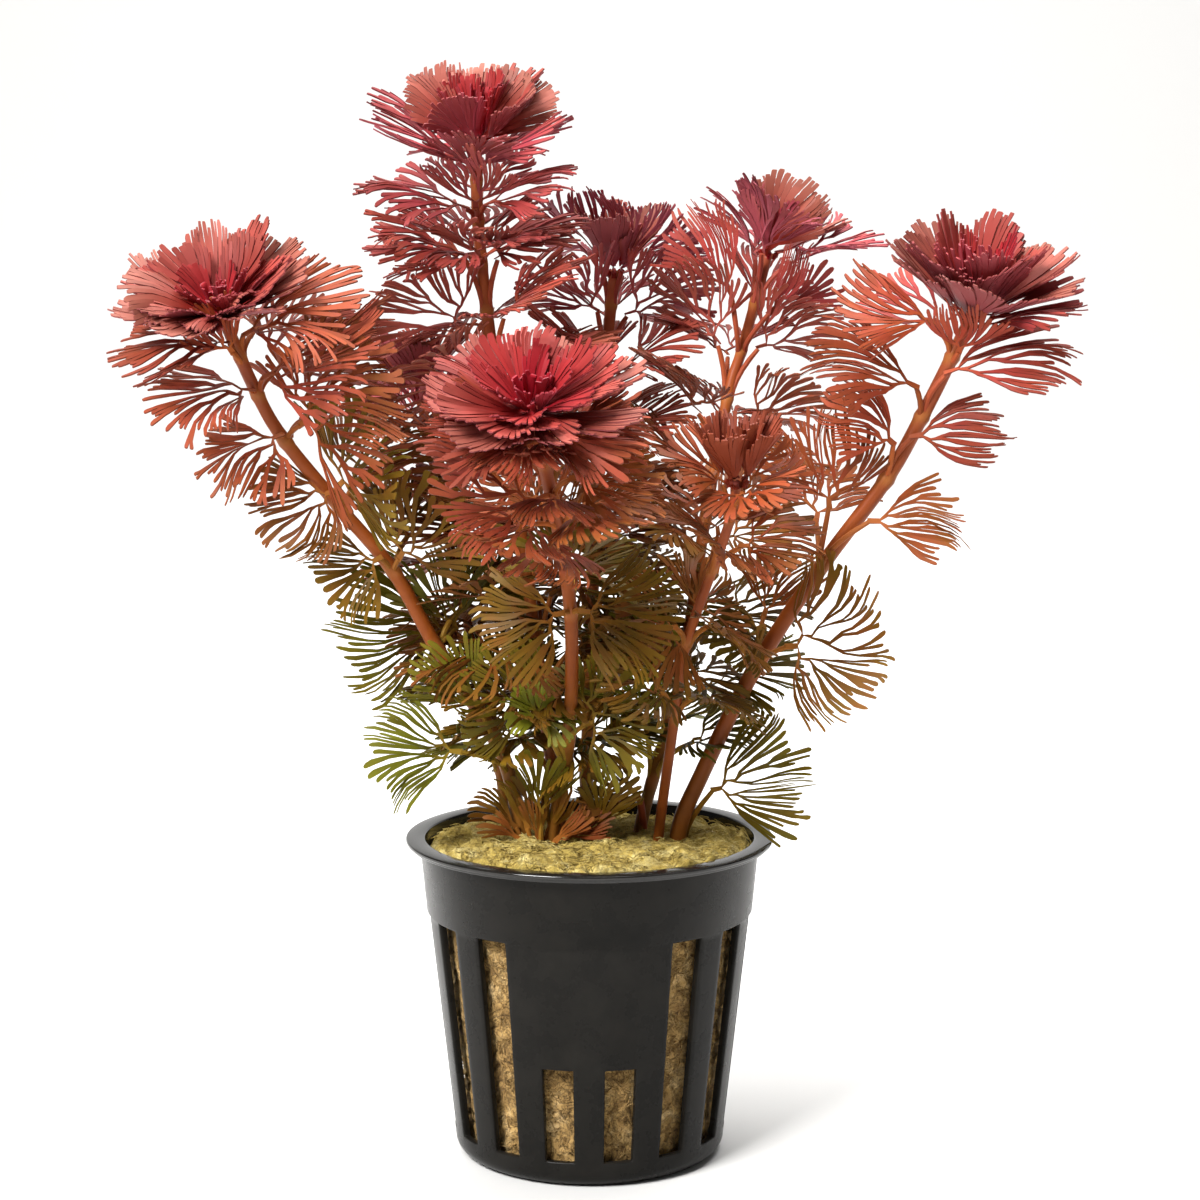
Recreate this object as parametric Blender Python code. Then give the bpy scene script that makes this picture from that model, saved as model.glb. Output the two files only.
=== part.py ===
"""A red cabomba in a 5 cm net pot: slotted pot, rockwool plug, stems, leaf whorls and crowns.

Metres, +Z up. The origin is the centre of the pot's underside and the front of the pot faces -Y.
"""

from math import atan2, cos, pi, radians, sin, tau

import bmesh
import bpy
from mathutils import Matrix, Vector, noise

MM = 0.001
GAP = 0.3 * MM  # air between two pieces that touch in the real plant

# Pot
POT_HEIGHT = 50 * MM
RIM_RADIUS = 28.6 * MM
RIM_THICKNESS = 1.2 * MM
RIM_ROUNDING = 0.4 * MM
RIDGE_RADIUS = 28.05 * MM  # the thinner ridge under the rim's lip
RIDGE_HEIGHT = 0.5 * MM
MOUTH_RADIUS = 25.6 * MM
WALL = 1.2 * MM
COLLAR_TOP_RADIUS = 26.4 * MM
COLLAR_FOOT_RADIUS = 25.4 * MM
COLLAR_FOOT = 38.6 * MM
SKIRT_TOP_RADIUS = 25.1 * MM
SKIRT_FOOT_RADIUS = 21.1 * MM
BASE_ROUNDING = 2.6 * MM
POT_SIDES = 45
SLOT_COUNT = 15
SLOT_ANGLE = radians(12)
SLOT_FOOT = 4.1 * MM
SLOT_TOP = 38.2 * MM
SHORT_SLOT_TOP = 18.9 * MM
SLOT_DEPTH = 13 * MM  # how far out from the axis the slot cutters start
DRAIN_COUNT = 5
DRAIN_ANGLE = radians(14.4)
DRAIN_NEAR = 6 * MM
DRAIN_FAR = 14 * MM

# Rockwool
WOOL_CLEARANCE = 0.5 * MM
WOOL_TOP = 49.4 * MM
WOOL_EDGE = 48.4 * MM
WOOL_ROUNDING = 1.5 * MM
WOOL_FLAT = 0.62  # radius of the flat middle of the top, as a share of the bore
WOOL_TILT = 0.045  # the top falls away from the front to the back
WOOL_BUMP = 0.5 * MM
WOOL_LUMP = 7 * MM
WOOL_SIDES = 20

# Leaves
PLATE = 0.5 * MM
WHORL_SIDES = 12
LEAVES_PER_WHORL = 3
LOW_REACH = 24 * MM
HIGH_REACH = 19 * MM
LOBE = 0.13  # how much further a leaf reaches along its middle than at its sides, as a share
WHORL_RISE = 0.42  # how far the tips rise above the joint, as a share of the reach
STALK_SHARE = 0.33  # where the steep stalks end and the fans begin, as shares of the reach and the rise
STALK_RISE = 0.62
HIGH_WHORL = 0.6  # share of the stem's height above which the leaves are rusty
HALFWAY_MARGIN = 1.5 * MM
REACH_STEP = 0.5 * MM
CROWN_SIDES = 12
CROWN_GAP = 0.8 * MM
CROWN_NOTCH = 0.07
CROWN_UNDERSIDE = ((0.08, 0), (0.45, 0.3), (1, 0.93), (0.98, 1), (0.55, 0.62))  # shares of radius and rise
HEART_SHARE = 0.28

# Stems
STEM_SIDES = 6
STEM_STEP = 8.5 * MM
SHOOT_STEPS = 6

# One row a stem: name, radius at the wool, radius under the crown, the crown (the way it leans, its radius,
# how far its outer leaves and its heart rise), the route in mm from inside the wool to the tip, and the
# whorls' heights in mm.
STEMS = (
    ("left", 1.28, 0.92, ((-0.16, -0.54), 14.5, 5.5, 7.5),
     ((-10, 0, 30), (-10.2, 0, 40), (-10.6, 0, 50), (-14, -1, 64), (-23.5, -3, 80), (-30, -4, 92),
      (-37.5, -6, 101.5), (-46, -8, 112.5), (-50, -9, 120), (-54.2, -13.5, 131.4)),
     (66, 80, 92, 101.5, 112, 119, 125)),
    ("top", 1.1, 0.9, ((-0.03, -0.2), 13, 9, 9),
     ((-4.5, 2, 30), (-4.5, 2, 40), (-4.7, 2, 51), (-7.7, 4, 74), (-11, 7, 99), (-14, 9, 117),
      (-16, 10, 131), (-17.3, 10, 145), (-17.5, 9.5, 157)),
     (121, 131, 138.5, 145, 151)),
    ("centre", 1.1, 0.9, ((0, -0.14), 8, 10.5, 9),
     ((-0.7, 5, 30), (-0.7, 5, 40), (-0.7, 5, 51), (0.4, 13, 85), (1.6, 20, 108), (3, 24, 127),
      (4, 25.5, 137)),
     (115, 124, 131.5)),
    ("front", 1.05, 0.95, ((0, -0.46), 15, 5.5, 8),
     ((-5.8, -2, 30), (-5.8, -2, 40), (-5.7, -2.2, 51), (-3.2, -8, 66), (-2.6, -17, 85),
      (-4, -24, 98), (-6, -30, 109), (-7.8, -36, 118.5)),
     (66.5, 87.3, 98.5, 105, 110.5)),
    ("right_back", 1.1, 0.8, ((0.24, -0.1), 9, 10, 8.5),
     ((8, 3, 30), (8, 3, 40), (8.1, 3.1, 51), (14.3, 8, 73), (18.3, 13, 98), (22, 17, 117.5),
      (24.3, 18, 125), (28.3, 18, 140)),
     (107, 117, 124.5, 132)),
    ("right", 1.4, 1.0, ((0.1, -0.36), 15, 9, 10),
     ((13.6, 0, 30), (13.6, 0, 40), (13.9, 0, 50.5), (17.2, 0, 59), (25.2, -2, 76), (35, -4, 92),
      (45, -5, 106), (50.5, -5, 116), (55, -6, 125.5), (57.5, -6.5, 131)),
     (76, 92.2, 106, 115.5, 124.5)),
    ("small_right", 0.85, 0.7, ((-0.05, -0.2), 7, 8.5, 7.5),
     ((10.5, -1.5, 30), (10.5, -1.5, 40), (10.7, -1.8, 50), (13.7, -8, 75), (14.7, -11, 82),
      (18, -17, 93), (20.5, -20.5, 101), (21.6, -22.8, 107.5)),
     (81.5, 93.5, 101.5)),
    ("small_left", 0.8, 0.7, ((-0.1, -0.1), 7, 9, 8),
     ((-13.2, 4, 30), (-13.2, 4, 40), (-13.2, 4.2, 50), (-14.8, 6.5, 63), (-17.7, 10, 75),
      (-21.5, 15, 90), (-25.5, 20, 108), (-27.5, 22, 117.5)),
     (99, 109)),
)
SHOOT_RADIUS = 0.6 * MM
SHOOT_ROUTE = ((8.6, 0.9, 38), (8.6, 0.9, 44), (8.7, 0.7, 50), (7.9, -0.6, 55.5))


def clear_scene():
    for old in list(bpy.data.objects):
        bpy.data.objects.remove(old)


def material(name, colour, roughness):
    made = bpy.data.materials.new(name)
    made.use_nodes = True
    shader = made.node_tree.nodes["Principled BSDF"]
    shader.inputs["Base Color"].default_value = (*colour, 1)
    shader.inputs["Roughness"].default_value = roughness
    made.diffuse_color = (*colour, 1)
    return made


def add_object(name, bm, finish=None, smooth=True):
    bmesh.ops.recalc_face_normals(bm, faces=bm.faces)
    if bm.calc_volume(signed=True) < 0:
        bmesh.ops.reverse_faces(bm, faces=bm.faces)
    mesh = bpy.data.meshes.new(name)
    bm.to_mesh(mesh)
    bm.free()
    if smooth:
        mesh.shade_smooth()
        mesh.set_sharp_from_angle(angle=radians(35))
    made = bpy.data.objects.new(name, mesh)
    bpy.context.scene.collection.objects.link(made)
    if finish:
        mesh.materials.append(finish)
    return made


def cut(target, cutter):
    cutter.hide_render = True
    cutter.display_type = "WIRE"
    modifier = target.modifiers.new("Cut " + cutter.name, "BOOLEAN")
    modifier.operation = "DIFFERENCE"
    modifier.solver = "EXACT"
    modifier.object = cutter


def bore_radius(height):
    """Inner radius of the pot: one taper along the slots, then a steeper one up to the mouth."""
    if height < SLOT_TOP:
        share = (height - BASE_ROUNDING) / (SLOT_TOP - BASE_ROUNDING)
        return SKIRT_FOOT_RADIUS - WALL + share * (SKIRT_TOP_RADIUS - SKIRT_FOOT_RADIUS)
    share = (height - SLOT_TOP) / (POT_HEIGHT - SLOT_TOP)
    return SKIRT_TOP_RADIUS - WALL + share * (MOUTH_RADIUS - SKIRT_TOP_RADIUS + WALL)


def turned(profile, sides):
    """A closed solid turned round Z from an outline of (radius, height) that starts and ends on the axis."""
    bm = bmesh.new()
    line = [bm.verts.new((radius, 0, height)) for radius, height in profile]
    edges = [bm.edges.new(pair) for pair in zip(line, line[1:])]
    bmesh.ops.spin(bm, geom=line + edges, cent=(0, 0, 0), axis=(0, 0, 1), angle=tau, steps=sides, use_merge=True)
    bmesh.ops.remove_doubles(bm, verts=bm.verts, dist=0.001 * MM)
    return bm


def arc(centre, radius, start, end, steps):
    """Points of a round corner in the (radius, height) plane."""
    for step in range(steps + 1):
        angle = radians(start + (end - start) * step / steps)
        yield centre[0] + radius * cos(angle), centre[1] + radius * sin(angle)


def pot_profile():
    rim_foot = POT_HEIGHT - RIM_THICKNESS
    lip_foot = rim_foot + RIDGE_HEIGHT
    top = POT_HEIGHT - RIM_ROUNDING
    yield 0, 0
    yield from arc((SKIRT_FOOT_RADIUS - BASE_ROUNDING, BASE_ROUNDING), BASE_ROUNDING, -90, 0, 3)
    yield SKIRT_TOP_RADIUS, SLOT_TOP
    yield COLLAR_FOOT_RADIUS, COLLAR_FOOT
    yield COLLAR_TOP_RADIUS, rim_foot
    yield RIDGE_RADIUS, rim_foot
    yield RIDGE_RADIUS, lip_foot
    yield RIM_RADIUS, lip_foot
    yield from arc((RIM_RADIUS - RIM_ROUNDING, top), RIM_ROUNDING, 0, 90, 1)
    yield bore_radius(POT_HEIGHT), POT_HEIGHT
    yield bore_radius(SLOT_TOP), SLOT_TOP
    yield bore_radius(WALL), WALL
    yield 0, WALL


def slot_angles():
    """The slots' middles in radians. The front, at -90 degrees, lies halfway between two of them."""
    pitch = tau / SLOT_COUNT
    for number in range(SLOT_COUNT):
        yield -pi / 2 + pitch * (number + 0.5)


def wedge(bm, angle, spread, near, far, foot, top):
    """A block that narrows towards the pot's axis, for cutting one opening."""
    corners = ((near, -spread), (far, -spread), (far, spread), (near, spread))
    base = [
        bm.verts.new((radius * cos(angle + side / 2), radius * sin(angle + side / 2), foot))
        for radius, side in corners
    ]
    face = bm.faces.new(base)
    raised = bmesh.ops.extrude_face_region(bm, geom=[face], use_keep_orig=True)["geom"]
    verts = [item for item in raised if isinstance(item, bmesh.types.BMVert)]
    bmesh.ops.translate(bm, verts=verts, vec=(0, 0, top - foot))


def make_pot(finish):
    pot = add_object("net_pot", turned(pot_profile(), POT_SIDES), finish)
    # Half a side of turn keeps the slots' edges off the pot's own edges.
    pot.data.transform(Matrix.Rotation(pi / POT_SIDES, 4, "Z"))
    bm = bmesh.new()
    front_slots = SLOT_ANGLE * 1.5
    for angle in slot_angles():
        at_front = abs(angle + pi / 2) < front_slots or abs(angle - 3 * pi / 2) < front_slots
        top = SHORT_SLOT_TOP if at_front else SLOT_TOP
        wedge(bm, angle, SLOT_ANGLE, SLOT_DEPTH, RIM_RADIUS, SLOT_FOOT, top)
    for number in range(DRAIN_COUNT):
        angle = tau * (number + 0.5) / DRAIN_COUNT
        wedge(bm, angle, DRAIN_ANGLE, DRAIN_NEAR, DRAIN_FAR, -WALL, 2 * WALL)
    cut(pot, add_object("pot_openings", bm, smooth=False))


def smooth_route(points, steps):
    """Points on a curve that passes through each given point, in metres."""
    known = [Vector(point) * MM for point in points]
    known = [2 * known[0] - known[1], *known, 2 * known[-1] - known[-2]]
    spans = len(points) - 1
    for step in range(steps + 1):
        place = min(step / steps * spans, spans - 1e-6)
        number, t = int(place), place % 1
        a, b, c, d = known[number : number + 4]
        yield 0.5 * (2 * b + (c - a) * t + (2 * a - 5 * b + 4 * c - d) * t**2 + (3 * b - a - 3 * c + d) * t**3)


def at_height(route, height):
    """The route's point at this height, and the direction of growth there."""
    for low, high in zip(route, route[1:]):
        if high.z >= height:
            break
    share = (height - low.z) / (high.z - low.z)
    return low.lerp(high, share), (high - low).normalized()


def facing(place, growth, turn=0):
    """A frame at this place with its Z along the growth and its X turned from the left towards the front."""
    across = Vector((0, -1, 0)).cross(growth).normalized()
    front = growth.cross(across)
    frame = Matrix((across, front, growth)).transposed().to_4x4()
    return Matrix.Translation(place) @ frame @ Matrix.Rotation(turn, 4, "Z")


def bar(route, radii, sides):
    """A round bar along the route, with closed ends."""
    bm = bmesh.new()
    ring = bmesh.ops.create_circle(bm, radius=1, segments=sides)["verts"]
    edges = list(bm.edges)
    last = Matrix.Identity(4)
    for number, place in enumerate(route):
        growth = route[min(number + 1, len(route) - 1)] - route[max(number - 1, 0)]
        frame = facing(place, growth.normalized()) @ Matrix.Scale(radii[number], 4)
        if number:
            grown = bmesh.ops.extrude_edge_only(bm, edges=edges)["geom"]
            ring = [item for item in grown if isinstance(item, bmesh.types.BMVert)]
            edges = [item for item in grown if isinstance(item, bmesh.types.BMEdge)]
        bmesh.ops.transform(bm, matrix=frame @ last.inverted(), verts=ring)
        last = frame
    bmesh.ops.holes_fill(bm, edges=bm.edges)
    return bm


def taper(low, high, steps):
    return [(low + (high - low) * step / steps) * MM for step in range(steps + 1)]


def make_wool(finish, holes):
    """The plug, with a hole for each stem. Its top is lumpy and lower at the back."""
    shoulder = WOOL_EDGE - WOOL_ROUNDING
    profile = [(0, WALL + GAP)]
    profile += [(bore_radius(height) - WOOL_CLEARANCE, height) for height in (WALL + GAP, SLOT_TOP, shoulder)]
    profile += [
        (bore_radius(shoulder) - WOOL_CLEARANCE - WOOL_ROUNDING, WOOL_EDGE),
        (bore_radius(shoulder) * WOOL_FLAT, WOOL_TOP),
        (0, WOOL_TOP),
    ]
    bm = turned(profile, WOOL_SIDES)
    for vert in bm.verts:
        if vert.co.z > shoulder + WOOL_ROUNDING / 2:
            lump = noise.noise(vert.co / WOOL_LUMP) * WOOL_BUMP
            vert.co.z += lump - vert.co.y * WOOL_TILT
    plug = add_object("rockwool_plug", bm, finish)
    for hole in holes:
        cut(plug, hole)


def has_room(place, own, others):
    """Whether this place is clearly nearer to its own stem than to any other."""
    nearest = min((place - point).length for point in own)
    return all((place - point).length > nearest + HALFWAY_MARGIN for route in others for point in route)


def free_reach(frame, azimuth, inner, reach, rise, own, others):
    """How far out a leaf can go in this direction before it meets the leaves of the next stem."""
    least = inner + 2 * REACH_STEP
    for count in range(int((reach - least) / REACH_STEP) + 1):
        radius = least + count * REACH_STEP
        share = (radius - inner) / (reach - inner)
        place = frame @ Vector((radius * cos(azimuth), radius * sin(azimuth), rise * share))
        if not has_room(place, own, others):
            return max(radius - REACH_STEP, least)
    return reach


def round_order(verts):
    """The ring's points in order of their azimuth. The first is the one on +X, or a hair before it."""
    return sorted(verts, key=lambda vert: (atan2(vert.co.y, vert.co.x) + radians(1)) % tau)


def leaf_ring(bm, edges, places):
    """Extrudes a ring of edges to the given places, which go round from +X."""
    grown = bmesh.ops.extrude_edge_only(bm, edges=edges)["geom"]
    verts = round_order(item for item in grown if isinstance(item, bmesh.types.BMVert))
    for vert, place in zip(verts, places):
        vert.co = place
    return [item for item in grown if isinstance(item, bmesh.types.BMEdge)]


def make_whorl(name, frame, inner, reach, own, others, finish):
    """Three leaves round a stem: stalks that rise steeply, then three broad fans that meet side by side."""
    rise = WHORL_RISE * reach
    bm = bmesh.new()
    bmesh.ops.create_circle(bm, radius=inner, segments=WHORL_SIDES)
    azimuths = [tau * number / WHORL_SIDES for number in range(WHORL_SIDES)]
    rims = [
        free_reach(
            frame, azimuth, inner, reach * (1 - LOBE + LOBE * cos(LEAVES_PER_WHORL * azimuth)), rise, own, others
        )
        for azimuth in azimuths
    ]
    edges = list(bm.edges)
    for share, lift in ((STALK_SHARE, STALK_RISE), (1, 1)):
        places = []
        for azimuth, rim in zip(azimuths, rims):
            radius = inner + share * (rim - inner)
            height = lift * rise * (rim - inner) / (reach - inner)
            places.append(Vector((radius * cos(azimuth), radius * sin(azimuth), height)))
        edges = leaf_ring(bm, edges, places)
    bm.transform(frame)
    whorl = add_object(name, bm, finish)
    solidify = whorl.modifiers.new("Leaf thickness", "SOLIDIFY")
    solidify.thickness = PLATE
    solidify.offset = 0


def make_crown(name, frame, crown, own, others, finish):
    """The rosette of young leaves at a stem's tip: a cup with a notched edge, and a full heart inside it."""
    _, radius, rise, heart = crown
    outline = [(share, lift * rise * MM) for share, lift in CROWN_UNDERSIDE]
    outline.append((HEART_SHARE, heart * MM))
    bm = bmesh.new()
    bmesh.ops.create_circle(bm, radius=1, segments=CROWN_SIDES)
    azimuths = [tau * number / CROWN_SIDES for number in range(CROWN_SIDES)]
    rims = [
        free_reach(frame, azimuth, 0, radius * MM * (1 - CROWN_NOTCH * (number % 2)), rise * MM, own, others)
        for number, azimuth in enumerate(azimuths)
    ]
    rings = [
        [Vector((rim * share * cos(azimuth), rim * share * sin(azimuth), height))
         for azimuth, rim in zip(azimuths, rims)]
        for share, height in outline
    ]
    edges = list(bm.edges)
    for vert, place in zip(round_order(bm.verts), rings[0]):
        vert.co = place
    for places in rings[1:]:
        edges = leaf_ring(bm, edges, places)
    bmesh.ops.holes_fill(bm, edges=bm.edges)
    bm.transform(frame)
    add_object(name, bm, finish)


def make_stem(row, finishes, routes):
    """One stem with its whorls and its crown. Returns the cutter for its hole in the wool."""
    name, low_radius, high_radius, crown, _, heights = row
    route = routes[name]
    others = [points for other, points in routes.items() if other != name]
    radii = taper(low_radius, high_radius, len(route) - 1)
    add_object(name + "_stem", bar(route, radii, STEM_SIDES), finishes["stem"])
    tip = route[-1]
    for number, height in enumerate(heights):
        place, growth = at_height(route, height * MM)
        share = (height * MM - POT_HEIGHT) / (tip.z - POT_HEIGHT)
        reach = LOW_REACH + (HIGH_REACH - LOW_REACH) * share
        inner = low_radius * MM + GAP + PLATE / 2
        frame = facing(place, growth, number * radians(60))
        finish = finishes["high leaf"] if share > HIGH_WHORL else finishes["low leaf"]
        make_whorl(f"{name}_whorl_{number + 1}", frame, inner, reach, route, others, finish)
    lean = Vector((*crown[0], 1)).normalized()
    foot = tip + (tip - route[-2]).normalized() * CROWN_GAP
    make_crown(name + "_crown", facing(foot, lean), crown, route, others, finishes["crown"])
    return hole_cutter(name, route, radii)


def hole_cutter(name, route, radii):
    """A slightly wider copy of the buried end of a stem."""
    count = 1 + sum(place.z < POT_HEIGHT for place in route)
    below = route[0] - (route[1] - route[0]).normalized() * GAP
    wider = [radius + 1.5 * GAP for radius in radii[:count]]
    return add_object(name + "_hole", bar([below, *route[1:count]], wider, STEM_SIDES), smooth=False)


def main():
    clear_scene()
    finishes = {
        "pot": material("Black polypropylene", (0.022, 0.022, 0.024), 0.45),
        "wool": material("Yellow rockwool", (0.62, 0.50, 0.16), 0.95),
        "stem": material("Red-brown stem", (0.36, 0.11, 0.05), 0.5),
        "low leaf": material("Olive leaf", (0.13, 0.14, 0.02), 0.55),
        "high leaf": material("Rusty leaf", (0.27, 0.07, 0.03), 0.55),
        "crown": material("Crimson leaf", (0.48, 0.05, 0.06), 0.55),
    }
    make_pot(finishes["pot"])
    routes = {}
    for name, _, _, _, points, _ in STEMS:
        steps = round((points[-1][2] - points[0][2]) * MM / STEM_STEP)
        routes[name] = list(smooth_route(points, steps))
    holes = [make_stem(row, finishes, routes) for row in STEMS]
    shoot = list(smooth_route(SHOOT_ROUTE, SHOOT_STEPS))
    shoot_radii = [SHOOT_RADIUS] * len(shoot)
    add_object("young_shoot", bar(shoot, shoot_radii, STEM_SIDES), finishes["stem"])
    holes.append(hole_cutter("shoot", shoot, shoot_radii))
    make_wool(finishes["wool"], holes)


main()
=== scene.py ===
from math import atan2, cos, hypot, pi, radians, sin, tau
from random import Random

import bmesh
import bpy
from mathutils import Matrix, Vector, noise
from mathutils.bvhtree import BVHTree


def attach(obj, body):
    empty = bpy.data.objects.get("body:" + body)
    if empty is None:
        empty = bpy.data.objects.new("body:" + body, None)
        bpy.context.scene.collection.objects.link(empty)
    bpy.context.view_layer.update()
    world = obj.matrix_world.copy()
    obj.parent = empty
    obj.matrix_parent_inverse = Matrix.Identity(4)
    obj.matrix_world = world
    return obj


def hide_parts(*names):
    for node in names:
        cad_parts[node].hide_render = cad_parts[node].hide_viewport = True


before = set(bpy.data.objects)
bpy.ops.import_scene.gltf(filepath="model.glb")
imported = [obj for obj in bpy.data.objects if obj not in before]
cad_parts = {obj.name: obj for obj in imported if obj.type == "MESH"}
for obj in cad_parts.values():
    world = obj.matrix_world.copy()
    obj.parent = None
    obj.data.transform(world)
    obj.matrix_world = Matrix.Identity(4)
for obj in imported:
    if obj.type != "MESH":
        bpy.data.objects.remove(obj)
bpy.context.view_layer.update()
MM = 0.001

# Photographer's set: a sheet of white paper that runs under the pot and curves up behind it, four soft
# boxes, and a camera with a short telephoto lens a little above the pot, tipped down slightly. The row of
# a soft box is its name, size, power, place, and the point that it faces.
LENS = 81.5
SENSOR = 36
CAMERA_PLACE = (1.63 * MM, -415.35 * MM, 142.18 * MM)
CAMERA_TIP = radians(7.584)
PAPER_WIDTH = 6.0
PAPER_NEAR = -3.0
PAPER_FAR = 2.0
PAPER_HEIGHT = 3.0
PAPER_CURVE = 0.8
PLANT_MIDDLE = (0, 0, 0.09)
SOFT_BOXES = (
    ("key_soft_box", 0.5, 38, (-0.6, -0.75, 1.0), PLANT_MIDDLE),
    ("fill_soft_box", 1.2, 1.6, (1.1, -0.5, 0.5), PLANT_MIDDLE),
    ("top_soft_box", 0.8, 13, (0.1, 0.2, 1.1), PLANT_MIDDLE),
    ("backdrop_soft_box", 1.5, 42, (0, 0.5, 1.6), (0, 1.9, 0.3)),
)
ROOM_LIGHT = 0.07


def colour(code):
    """An sRGB hex colour as linear RGBA."""
    shares = [int(code[start : start + 2], 16) / 255 for start in (1, 3, 5)]
    return *[x / 12.92 if x <= 0.04045 else ((x + 0.055) / 1.055) ** 2.4 for x in shares], 1


def material(name, **look):
    """A new material with these values on its Principled shader, its node tree and that shader."""
    made = bpy.data.materials.new(name)
    made.use_nodes = True
    shader = made.node_tree.nodes["Principled BSDF"]
    for socket, value in look.items():
        shader.inputs[socket.replace("_", " ")].default_value = value
    return made, made.node_tree, shader


def add_object(name, bm, finish, sharp=None):
    """The bmesh as a smooth object with its finish, creased at folds past the sharp angle."""
    mesh = bpy.data.meshes.new(name)
    bm.to_mesh(mesh)
    bm.free()
    mesh.shade_smooth()
    made = bpy.data.objects.new(name, mesh)
    bpy.context.scene.collection.objects.link(made)
    mesh.materials.append(finish)
    if sharp:
        mesh.set_sharp_from_angle(angle=sharp)
    return made


lens = bpy.data.cameras.new("short_telephoto")
lens.lens = LENS
lens.sensor_width = SENSOR
lens.clip_start = 0.01
camera = bpy.data.objects.new("camera", lens)
camera.location = CAMERA_PLACE
camera.rotation_euler = (pi / 2 - CAMERA_TIP, 0, 0)
bpy.context.scene.collection.objects.link(camera)
bpy.context.scene.camera = camera
bpy.context.scene.view_settings.view_transform = "Standard"

for name, size, power, place, target in SOFT_BOXES:
    box = bpy.data.lights.new(name, "AREA")
    box.size = size
    box.energy = power
    light = bpy.data.objects.new(name, box)
    light.location = place
    light.rotation_euler = (Vector(target) - Vector(place)).to_track_quat("-Z", "Y").to_euler()
    bpy.context.scene.collection.objects.link(light)
world = bpy.data.worlds.new("White room")
world.use_nodes = True
world.node_tree.nodes["Background"].inputs["Color"].default_value = colour("#FFFFFF")
world.node_tree.nodes["Background"].inputs["Strength"].default_value = ROOM_LIGHT
bpy.context.scene.world = world

# Matt white background paper.
paper_white, *_ = material("White background paper", Base_Color=colour("#CBCAC8"), Roughness=0.9)
bm = bmesh.new()
bm.verts.new((-PAPER_WIDTH / 2, PAPER_NEAR, 0))
bm.verts.new((-PAPER_WIDTH / 2, PAPER_FAR, 0))
bm.verts.new((-PAPER_WIDTH / 2, PAPER_FAR, PAPER_HEIGHT))
bm.verts.ensure_lookup_table()
bm.edges.new(bm.verts[0:2])
bm.edges.new(bm.verts[1:3])
bmesh.ops.bevel(bm, geom=[bm.verts[1]], offset=PAPER_CURVE, segments=16, profile=0.5,
                affect="VERTICES", material=-1)
paper_edge = list(bm.edges)
paper = bmesh.ops.extrude_edge_only(bm, edges=paper_edge)["geom"]
paper_far_side = [item for item in paper if isinstance(item, bmesh.types.BMVert)]
bmesh.ops.translate(bm, verts=paper_far_side, vec=(PAPER_WIDTH, 0, 0))
bmesh.ops.recalc_face_normals(bm, faces=bm.faces)
floor = add_object("background_paper", bm, paper_white)

# Net pot: one injection moulding of black polypropylene. A flat rim with a small lip stands on a plain
# collar, and 15 slots are moulded through the tapered skirt, the two at the front shorter than the rest.
POT_HEIGHT = 50 * MM
WALL = 1.2 * MM
BORE = 25.6 * MM
SKIRT_FOOT = (21.1 * MM, 2.6 * MM)
SKIRT_TOP = (25.1 * MM, 38.2 * MM)
COLLAR_FOOT = (25.4 * MM, 38.6 * MM)
COLLAR_TOP = (26.4 * MM, 48.8 * MM)
RIM_RADIUS = 28.6 * MM
RIM_ROUNDING = 0.25 * MM
RIDGE_RADIUS = 28.05 * MM
LIP_FOOT = 49.3 * MM
SLOT_COUNT = 15
SLOT_FOOT = 4.1 * MM
SHORT_SLOT_TOP = 18.9 * MM
SLOT_END = 0.75 * MM
SLOT_SHARE = 0.5
DRAIN_COUNT = 5
DRAIN_NEAR = 6 * MM
DRAIN_FAR = 14 * MM
DRAIN_SHARE = 0.2
POT_STEPS = 180
EDGE_ROUNDING = 0.2 * MM
MOULDED_EDGE = radians(40)
SHADING_EDGE = radians(50)


def bore_radius(height):
    """Inner radius of the pot: one taper along the slots, then a steeper one up to the mouth."""
    if height < SKIRT_TOP[1]:
        share = (height - SKIRT_FOOT[1]) / (SKIRT_TOP[1] - SKIRT_FOOT[1])
        return SKIRT_FOOT[0] - WALL + share * (SKIRT_TOP[0] - SKIRT_FOOT[0])
    share = (height - SKIRT_TOP[1]) / (POT_HEIGHT - SKIRT_TOP[1])
    return SKIRT_TOP[0] - WALL + share * (BORE - SKIRT_TOP[0] + WALL)


def arc(centre, radius, start, end, steps):
    """Points of a round corner in the (radius, height) plane."""
    for step in range(steps + 1):
        angle = radians(start + (end - start) * step / steps)
        yield centre[0] + radius * cos(angle), centre[1] + radius * sin(angle)


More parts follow.
